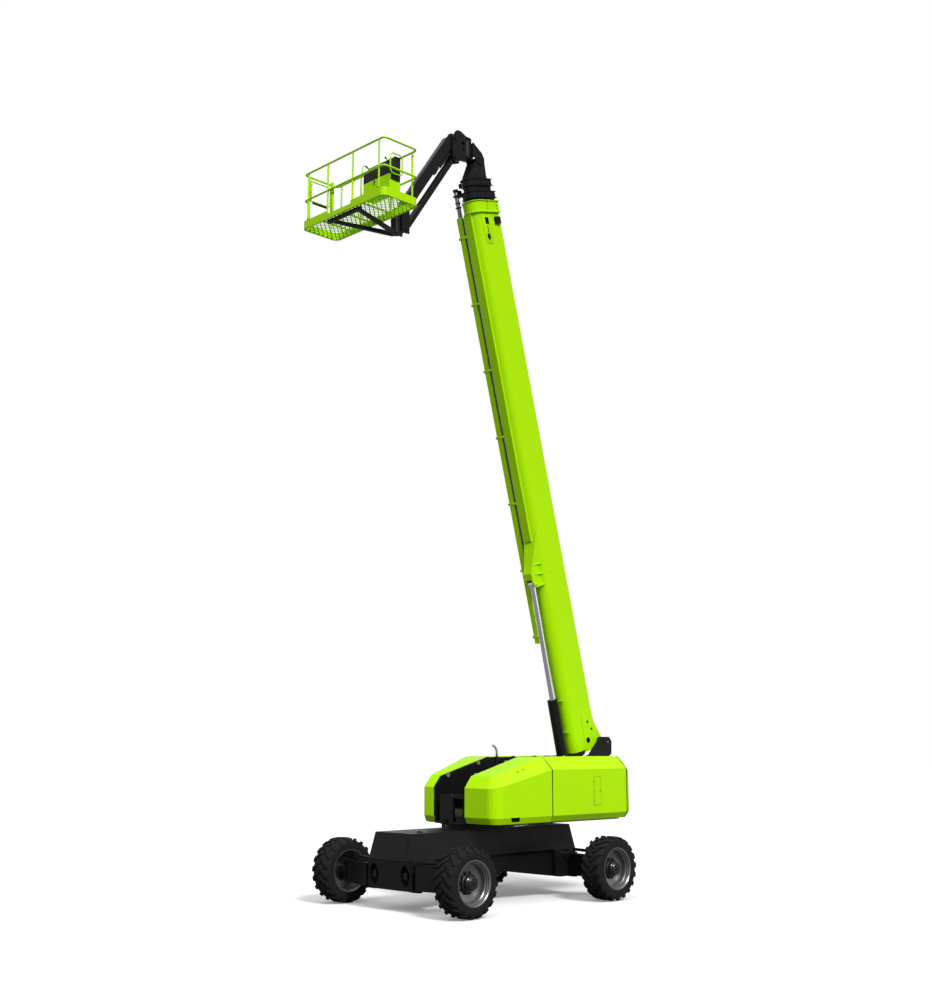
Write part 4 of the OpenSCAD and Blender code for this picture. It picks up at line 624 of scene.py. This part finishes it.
# Doubler plate on each side near the mouth
for side, sy in (("left", 1.0), ("right", -1.0)):
    bpy.ops.mesh.primitive_plane_add(size=1.0, location=(11.02, sy * 0.200, -0.482),
                                     rotation=(math.radians(-90.0 * sy), 0.0, 0.0))
    doubler = bpy.context.object
    doubler.scale = (0.60, 0.240, 1.0)
    bpy.ops.object.transform_apply(location=False, rotation=False, scale=True)
    bpy.ops.object.mode_set(mode="EDIT")
    bpy.ops.mesh.select_all(action="SELECT")
    bpy.ops.mesh.bevel(offset=0.05, segments=6, affect="VERTICES")
    bpy.ops.mesh.extrude_region_move(TRANSFORM_OT_translate={"value": (0.0, sy * 0.007, 0.0)})
    bpy.ops.mesh.select_all(action="SELECT")
    bpy.ops.mesh.normals_make_consistent(inside=False)
    bpy.ops.object.mode_set(mode="OBJECT")
    apply_modifier(doubler, "BEVEL", width=0.002, segments=2, limit_method="ANGLE", angle_limit=0.9)
    bake(on_boom(doubler), f"doubler_{side}", "boom_base", lime)

    # Its slot and its oval hole as black blocks, painted shade of the openings, its pull lever with
    # a lime knob, and the switch box above it
    slot_shade_block = block((0.150, 0.006, 0.105), (11.20, sy * 0.2075, -0.470), edge=0.0029)
    oval_hole_shade = disc(0.047, 0.006, (10.865, sy * 0.2075, -0.488), (0.0, 1.0, 0.0), 0.002)
    oval_hole_shade.scale = (1.5, 1.0, 1.0)
    lever = block((0.150, 0.006, 0.016), (11.03, sy * 0.2085, -0.480), edge=0.002)
    switch = block((0.150, 0.050, 0.165), (11.215, sy * 0.226, -0.155), edge=0.012)
    fittings = weld([slot_shade_block, oval_hole_shade, lever, switch])
    bake(on_boom(fittings), f"doubler_fittings_{side}", "boom_base", black_paint)
    knob = disc(0.024, 0.016, (11.105, sy * 0.212, -0.480), (0.0, 1.0, 0.0), 0.005)
    bake(on_boom(knob), f"lever_knob_{side}", "boom_base", lime)

# Foot of the boom: black plugs over the pivots of the wire ropes, and two ledges under the belly
foot = []
for sy in (1.0, -1.0):
    foot.append(disc(0.057, 0.014, (0.10, sy * 0.217, -0.33), (0.0, sy, 0.0), 0.003))
    foot.append(disc(0.026, 0.010, (0.30, sy * 0.216, -0.16), (0.0, sy, 0.0), 0.002))
    foot.append(disc(0.026, 0.010, (0.47, sy * 0.216, -0.25), (0.0, sy, 0.0), 0.002))
    foot.append(disc(0.078, 0.016, (0.0, sy * 0.221, 0.0), (0.0, sy, 0.0), 0.004))
bake(on_boom(weld(foot)), "foot_plugs", "boom_base", black_paint)
ledges = [block((0.014, 0.30, 0.030), (s, 0.0, -0.779), edge=0.003) for s in (1.044, 0.38)]
bake(on_boom(weld(ledges)), "belly_ledges", "boom_base", lime)

# ---- Hoses and push tube ----
# A grey push tube slides in the tray as the boom extends and is clamped to the second section.
# Black pressure hoses lie beside it, held by the tray's clamps with two bolts each.
grey_tube, grey_shader = surface("grey_tube", (0.20, 0.20, 0.21), 0.38, 0.3, 0.4)
mottle(grey_tube, grey_shader, (0.17, 0.17, 0.18), (0.24, 0.24, 0.25), 6.0, 0.3, 0.46)
tube_y, tube_n = -0.282, -0.728
tube = disc(0.044, 9.33, (7.315, tube_y, tube_n), (1.0, 0.0, 0.0), 0.004, 24)
bake(on_boom(tube), "push_tube", "boom_second", grey_tube)
fittings = []
for s, radius, depth in ((11.60, 0.070, 0.018), (11.70, 0.062, 0.016), (11.845, 0.078, 0.024),
                         (11.965, 0.058, 0.05)):
    fittings.append(disc(radius, depth, (s, tube_y, tube_n), (1.0, 0.0, 0.0), 0.004))
fittings.append(block((0.030, 0.170, 0.130), (11.83, -0.232, -0.670), edge=0.008))
fittings.append(block((0.090, 0.090, 0.075), (11.915, -0.245, -0.665), edge=0.012))
bake(on_boom(weld(fittings)), "tube_clamps", "boom_second", black_paint)
fittings = [disc(0.040, 0.09, (12.06, -0.235, -0.600), (1.0, 0.0, 0.0), 0.006),
            block((0.030, 0.12, 0.07), (12.06, -0.195, -0.585), edge=0.006),
            disc(0.028, 0.10, (12.095, -0.225, -0.520), (0.0, 0.0, 1.0), 0.006)]
bake(on_boom(weld(fittings)), "third_fittings", "boom_third", black_paint)
tray_mouth = 11.36
runs = []
for y, n, radius in ((-0.199, -0.705, 0.017), (-0.166, -0.722, 0.014), (-0.205, -0.748, 0.013)):
    runs.append(hose([(s, y, n) for s in (2.35, 5.3, 8.3, tray_mouth)], radius, 12))
bake(on_boom(weld(runs)), "boom_hoses", "boom_base", hose_rubber)
pipe = hose([(s, -0.178, -0.752) for s in (2.40, 6.8, tray_mouth)], 0.011, 12)
bake(on_boom(pipe), "boom_pipe", "boom_base", zinc)
strap_count, first_strap, strap_pitch = 7, 2.425, 1.42
straps, heads = [], []
for k in range(strap_count):
    s = first_strap + strap_pitch * k
    straps.append(block((0.050, 0.250, 0.006), (s, -0.256, -0.7935), edge=0.002))
    straps.append(block((0.050, 0.006, 0.060), (s, -0.3475, -0.640), edge=0.002))
    heads += [(s - 0.012, -0.3505, -0.622), (s + 0.012, -0.3505, -0.658)]
bake(on_boom(weld(straps)), "tray_straps", "boom_base", lime)
bake(on_boom(bolts(heads, (0.0, -1.0, 0.0), 0.008)), "tray_bolts", "boom_base", black_paint)
cream, cream_shader = surface("cream_block", (0.62, 0.60, 0.30), 0.5, 0.0, 0.4)
mottle(cream, cream_shader, (0.55, 0.53, 0.25), (0.68, 0.66, 0.36), 8.0, 0.44, 0.6)
end_block = block((0.07, 0.08, 0.06), (2.315, -0.275, -0.752), edge=0.008)
bake(on_boom(end_block), "tray_end_block", "boom_base", cream)

# ---- Head and jib ----
# Flame-cut plates and box beams in satin black, with bolts over the pins and slots in the nose.
wear(["level_head", "swing_bracket", "jib_beam", "jib_link", "jib_barrel", "jib_end"], black_paint)
# The slots in the nose are black blocks standing on the plates: painted shade of the openings
nose_slot_shades = []
for sy in (1.0, -1.0):
    for s, n in ((12.27, -0.26), (12.27, -0.42)):
        nose_slot_shades.append(block((0.150, 0.004, 0.040), (s, sy * 0.1255, n), edge=0.0019))
bake(on_boom(weld(nose_slot_shades)), "nose_slot_shade_blocks", "boom_fly", hose_rubber)

# Pins of the head, of the jib's beam and of its link below it, at rest
level_x, level_z = 0.02170, 15.09641
swing_x = level_x + 0.262
pin_rise, jib_length, jib_fall = 0.420, 2.39, math.radians(56.0)
jib_a = Vector((swing_x + 0.416, 0.0, level_z + 0.236))
jib_b = jib_a - Vector((0.0, 0.0, pin_rise))
jib_run = Vector((jib_length * math.cos(jib_fall), 0.0, -jib_length * math.sin(jib_fall)))
spots = [(level_x + x, 0.1475, level_z + z) for x, z in ((-0.08, 0.0), (0.05, 0.12), (0.12, 0.19))]
caps = [disc(0.050, 0.012, (level_x, sy * 0.153, level_z), (0.0, sy, 0.0), 0.003)
        for sy in (1.0, -1.0)]
bake(weld([both_faces(spots, 0.010)] + caps), "head_bolts", "level_head", black_paint)
caps = []
for point in (jib_a, jib_b):
    for sy in (1.0, -1.0):
        caps.append(disc(0.046, 0.012, (point.x, sy * 0.1325, point.z), (0.0, sy, 0.0), 0.003))
bake(weld(caps), "bracket_pin_caps", "swing_bracket", black_paint)

# Doubler plates with four bolts on the jib's sides, above the lug of its cylinder
jib_frame = Matrix.Translation(jib_a) @ Matrix.Rotation(jib_fall, 4, "Y")
plates = [block((0.210, 0.009, 0.108), (1.055, sy * 0.0865, -0.029), edge=0.003)
          for sy in (1.0, -1.0)]
spots = [(s, 0.0905, n) for s, n in ((1.00, -0.02), (1.055, 0.0), (1.11, -0.02), (1.055, -0.065))]
plates.append(both_faces(spots, 0.009))
bake(on_boom(weld(plates), jib_frame), "jib_lug_plates", "jib_beam", black_paint)

# Strip along the top of the jib in a lighter grey than its black paint: painted highlight of the
# lit top face
lit_top_grey, lit_top_shader = surface("jib_top_painted_highlight", (0.045, 0.045, 0.048), 0.3, 0.2, 0.5)
mottle(lit_top_grey, lit_top_shader, (0.038, 0.038, 0.040), (0.056, 0.056, 0.060), 4.0, 0.25, 0.36)
strip = block((2.10, 0.120, 0.006), (1.195, 0.0, 0.1525), edge=0.002)
bake(on_boom(strip, jib_frame), "jib_top_strip", "jib_beam", lit_top_grey)

# Pin caps and rotator flanges at the jib's far end
end_x = jib_b.x + jib_run.x
end_z = jib_b.z + jib_run.z
caps = []
for z in (end_z, end_z + pin_rise):
    for sy in (1.0, -1.0):
        caps.append(disc(0.046, 0.010, (end_x, sy * 0.1285, z), (0.0, sy, 0.0), 0.003))
rotator_x = end_x + 0.190
for z in (end_z - 0.04, end_z + 0.16, end_z + 0.36):
    caps.append(disc(0.108, 0.024, (rotator_x, 0.0, z), edge=0.005, sides=48))
spots = [(rotator_x + x, y, end_z + 0.380) for x, y in circle(8, 0.075)]
bake(weld(caps + [bolts(spots, (0.0, 0.0, 1.0), 0.009)]), "rotator_flanges", "jib_end", black_paint)

# ---- Platform ----
# Welded tube rails on a toe board of bent sheet, lower between the two middle front posts. The
# floor is a diamond mesh of thin strands welded into a frame, so it is seen through from below.
wear(["platform_support"], black_paint)
wear(["platform_rails", "platform_gate"], lime)
platform_depth, platform_width, platform_corner = 0.880, 2.440, 0.110
toe_height, low_toe, low_right, low_left = 0.160, 0.096, -0.42, 0.27
floor_z = end_z - 0.058
rear_x = end_x + 0.690
front_x = rear_x + platform_depth
mid_x = (rear_x + front_x) / 2.0
bpy.ops.mesh.primitive_plane_add(size=1.0, location=(mid_x, 0.0, floor_z))
toe = bpy.context.object
toe.scale = (platform_depth, platform_width, 1.0)
bpy.ops.object.transform_apply(location=True, rotation=True, scale=True)
bpy.ops.object.mode_set(mode="EDIT")
bpy.ops.mesh.select_all(action="SELECT")
bpy.ops.mesh.bevel(offset=platform_corner, segments=10, affect="VERTICES")
bpy.ops.mesh.select_all(action="SELECT")
bpy.ops.mesh.extrude_region_move(TRANSFORM_OT_translate={"value": (0.0, 0.0, toe_height)})
for at, across in (((0.0, low_right, 0.0), (0.0, 1.0, 0.0)),
                   ((0.0, low_left, 0.0), (0.0, 1.0, 0.0)),
                   ((0.0, 0.0, floor_z + low_toe), (0.0, 0.0, 1.0))):
    bpy.ops.mesh.select_all(action="SELECT")
    bpy.ops.mesh.bisect(plane_co=at, plane_no=across)
walls = bmesh.from_edit_mesh(toe.data)
for face in walls.faces:
    middle = face.calc_center_median()
    flat = abs(face.normal.z) > 0.9
    between = middle.x > front_x - 0.01 and low_right < middle.y < low_left
    face.select_set(flat or (between and middle.z > floor_z + low_toe))
bmesh.update_edit_mesh(toe.data)
bpy.ops.mesh.delete(type="FACE")
bpy.ops.object.mode_set(mode="OBJECT")
if sum(p.normal.dot(p.center - Vector((mid_x, 0.0, floor_z))) for p in toe.data.polygons) < 0.0:
    toe.data.flip_normals()
apply_modifier(toe, "SOLIDIFY", thickness=0.005, offset=-1.0)
frame_bars = [toe]
for x in (rear_x + 0.021, front_x - 0.021):
    frame_bars.append(block((0.030, 2.200, 0.030), (x, 0.0, floor_z + 0.016), edge=0.003))
for y in (-1.199, -0.60, 0.0, 0.60, 1.199):
    bar_length = 0.64 if abs(y) > 1.0 else 0.808
    frame_bars.append(block((bar_length, 0.030, 0.026), (mid_x, y, floor_z + 0.014), edge=0.003))
toe = bake(weld(frame_bars), "toe_board", "platform", lime)
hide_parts("platform_floor")

# Strands of the floor mesh, each as long as the floor is along it, found in steps of 5 mm
strand_pitch, strand_rows, shortest = 0.078, 16, 6
step, reach = 0.005, 360
half_x, half_y, corner_r = 0.434, 1.214, 0.104


def on_floor(x, y):
    """Whether a place lies on the floor, whose corners are round."""
    dx = max(0.0, abs(x) - (half_x - corner_r))
    dy = max(0.0, abs(y) - (half_y - corner_r))
    return abs(x) < half_x and abs(y) < half_y and dx * dx + dy * dy < corner_r * corner_r


for name, slant, height in (("floor_mesh_a", 45.0, 0.0290), ("floor_mesh_b", -45.0, 0.0230)):
    along = Vector((math.cos(math.radians(slant)), math.sin(math.radians(slant)), 0.0))
    aside = Vector((-along.y, along.x, 0.0))
    strand = block((1.0, 0.018, 0.008), (0.0, 0.0, 0.0), edge=0.0018)
    moves = []
    for k in range(-strand_rows, strand_rows + 1):
        inside = [t * step for t in range(-reach, reach + 1)
                  if on_floor(*(aside * (k * strand_pitch) + along * (t * step))[:2])]
        if len(inside) < shortest:
            continue
        middle = aside * (k * strand_pitch) + along * ((inside[0] + inside[-1]) / 2.0)
        place = Matrix.Translation((mid_x + middle.x, middle.y, floor_z + height))
        moves.append(place @ Matrix.Rotation(math.radians(slant), 4, "Z")
                     @ Matrix.Scale(inside[-1] - inside[0], 4, (1.0, 0.0, 0.0)))
    bake(repeat(strand, moves), name, "platform", lime)


def guard_loop(x0, x1, z0, z1, y, radius, tube):
    """A tube bent round into a closed loop with round corners, in a plane across the platform."""
    curve = bpy.data.curves.new("run", "CURVE")
    curve.dimensions = "3D"
    curve.bevel_depth = tube
    curve.bevel_resolution = 3
    run = curve.splines.new("POLY")
    points = []
    for cx, cz, start in ((x1 - radius, z1 - radius, 0), (x0 + radius, z1 - radius, 90),
                          (x0 + radius, z0 + radius, 180), (x1 - radius, z0 + radius, 270)):
        for k in range(7):
            turn = math.radians(start + 15 * k)
            points.append((cx + radius * math.cos(turn), y, cz + radius * math.sin(turn)))
    run.points.add(len(points) - 1)
    for spot, point in zip(run.points, points):
        spot.co = (*point, 1.0)
    run.use_cyclic_u = True
    return as_mesh(curve)


# Console: a cabinet that is lime below and black from its band up, with levers and push buttons
# on its sloping top, between two guard loops. One of its ends is a black ribbed panel.
console_black, band_z = (0.012, 0.012, 0.013), floor_z + 0.740
console, console_shader = surface("console_finish", console_black, 0.4, 0.0, 0.2)
grain(console, console_shader, 160.0, 0.1, 0.001)
tree = console.node_tree
place = tree.nodes.new("ShaderNodeTexCoord")
parts = tree.nodes.new("ShaderNodeSeparateXYZ")
above = tree.nodes.new("ShaderNodeMath")
above.operation = "GREATER_THAN"
above.inputs[1].default_value = band_z
tree.links.new(place.outputs["Object"], parts.inputs[0])
tree.links.new(parts.outputs["Z"], above.inputs[0])
two_tone(console, console_shader, lime_green, console_black, above.outputs[0])
wear(["control_box"], console)
desk_x = rear_x + 0.026 + 0.0203
slope_turn = math.atan2(0.190, 0.140)
slope_aim = Vector((math.sin(slope_turn), 0.0, math.cos(slope_turn)))
levers = []
for y in (0.06, 0.62):
    foot_at = Vector((desk_x + 0.200, y, floor_z + 1.028))
    levers.append(disc(0.032, 0.018, foot_at + slope_aim * 0.004, slope_aim, 0.005, 24))
    levers.append(disc(0.008, 0.075, foot_at + slope_aim * 0.040, slope_aim, 0.002, 12))
    levers.append(disc(0.017, 0.045, foot_at + slope_aim * 0.088, slope_aim, 0.007, 20))
for k in range(6):
    for row in (0.0, 0.05):
        foot_at = Vector((desk_x + 0.188 + row * 0.6, 0.16 + 0.075 * k,
                          floor_z + 1.0445 - row * 0.82))
        levers.append(disc(0.011, 0.012, foot_at + slope_aim * 0.004, slope_aim, 0.003, 16))
bake(weld(levers), "console_levers", "platform", hose_rubber)
panel_rib_pitch = 0.065
ribs = []
for k in range(5):
    rib_z = floor_z + 0.665 + panel_rib_pitch * k
    ribs.append(block((0.170, 0.014, 0.016), (desk_x + 0.125, 0.748, rib_z),
                      (0.0, math.radians(24.0), 0.0), edge=0.004))
ribs.append(block((0.235, 0.008, 0.380), (desk_x + 0.130, 0.7445, floor_z + 0.81), edge=0.003))
bake(weld(ribs), "console_rib_panel", "platform", hose_rubber)
latch = [disc(0.020, 0.014, (desk_x + 0.277, 0.30, floor_z + 0.70), (1.0, 0.0, 0.0), 0.004, 24),
         block((0.010, 0.012, 0.060), (desk_x + 0.276, 0.31, floor_z + 0.655), edge=0.003)]
bake(weld(latch), "console_latch", "platform", hose_rubber)
guard_x, guard_z = desk_x + 0.285, floor_z + 1.150
loops = [guard_loop(desk_x - 0.02, guard_x, band_z, guard_z, 0.775, 0.085, 0.0135),
         guard_loop(desk_x + 0.115, guard_x, floor_z + 0.940, guard_z, -0.058, 0.060, 0.0115)]
for x, y, z in ((0.05, 0.757, 0.745), (0.22, 0.757, 0.745), (0.20, -0.046, 0.944)):
    loops.append(block((0.024, 0.036, 0.014), (desk_x + x, y, floor_z + z), edge=0.003))
bake(weld(loops), "console_guards", "platform", lime)

# Half-height channel beside the second front post, its black clamp, and the gate's kick strip
channel_x, channel_y = front_x - 0.047, -0.345
channel = block((0.030, 0.085, 0.680), (channel_x, channel_y, floor_z + 0.380), edge=0.006)
bake(channel, "post_channel", "platform", lime)
clamps = [block((0.040, 0.095, 0.018), (channel_x, channel_y, floor_z + 0.500), edge=0.004)]
for y in (-1.06, 1.06):
    clamps.append(disc(0.025, 0.012, (front_x - 0.026, y, floor_z + 0.178), edge=0.003, sides=24))
bake(weld(clamps), "post_clamps", "platform", hose_rubber)
gate_end = front_x - 0.190
kick_y, kick_z = -1.194, floor_z + 0.628
kick = [block((0.400, 0.010, 0.056), (gate_end - 0.235, kick_y, kick_z), edge=0.003)]
for k in range(7):
    kick.append(block((0.012, 0.016, 0.050), (gate_end - 0.415 + 0.06 * k, kick_y, kick_z),
                      (0.0, math.radians(30.0), 0.0), edge=0.002))
bake(weld(kick), "gate_kick_strip", "platform_gate", hose_rubber)
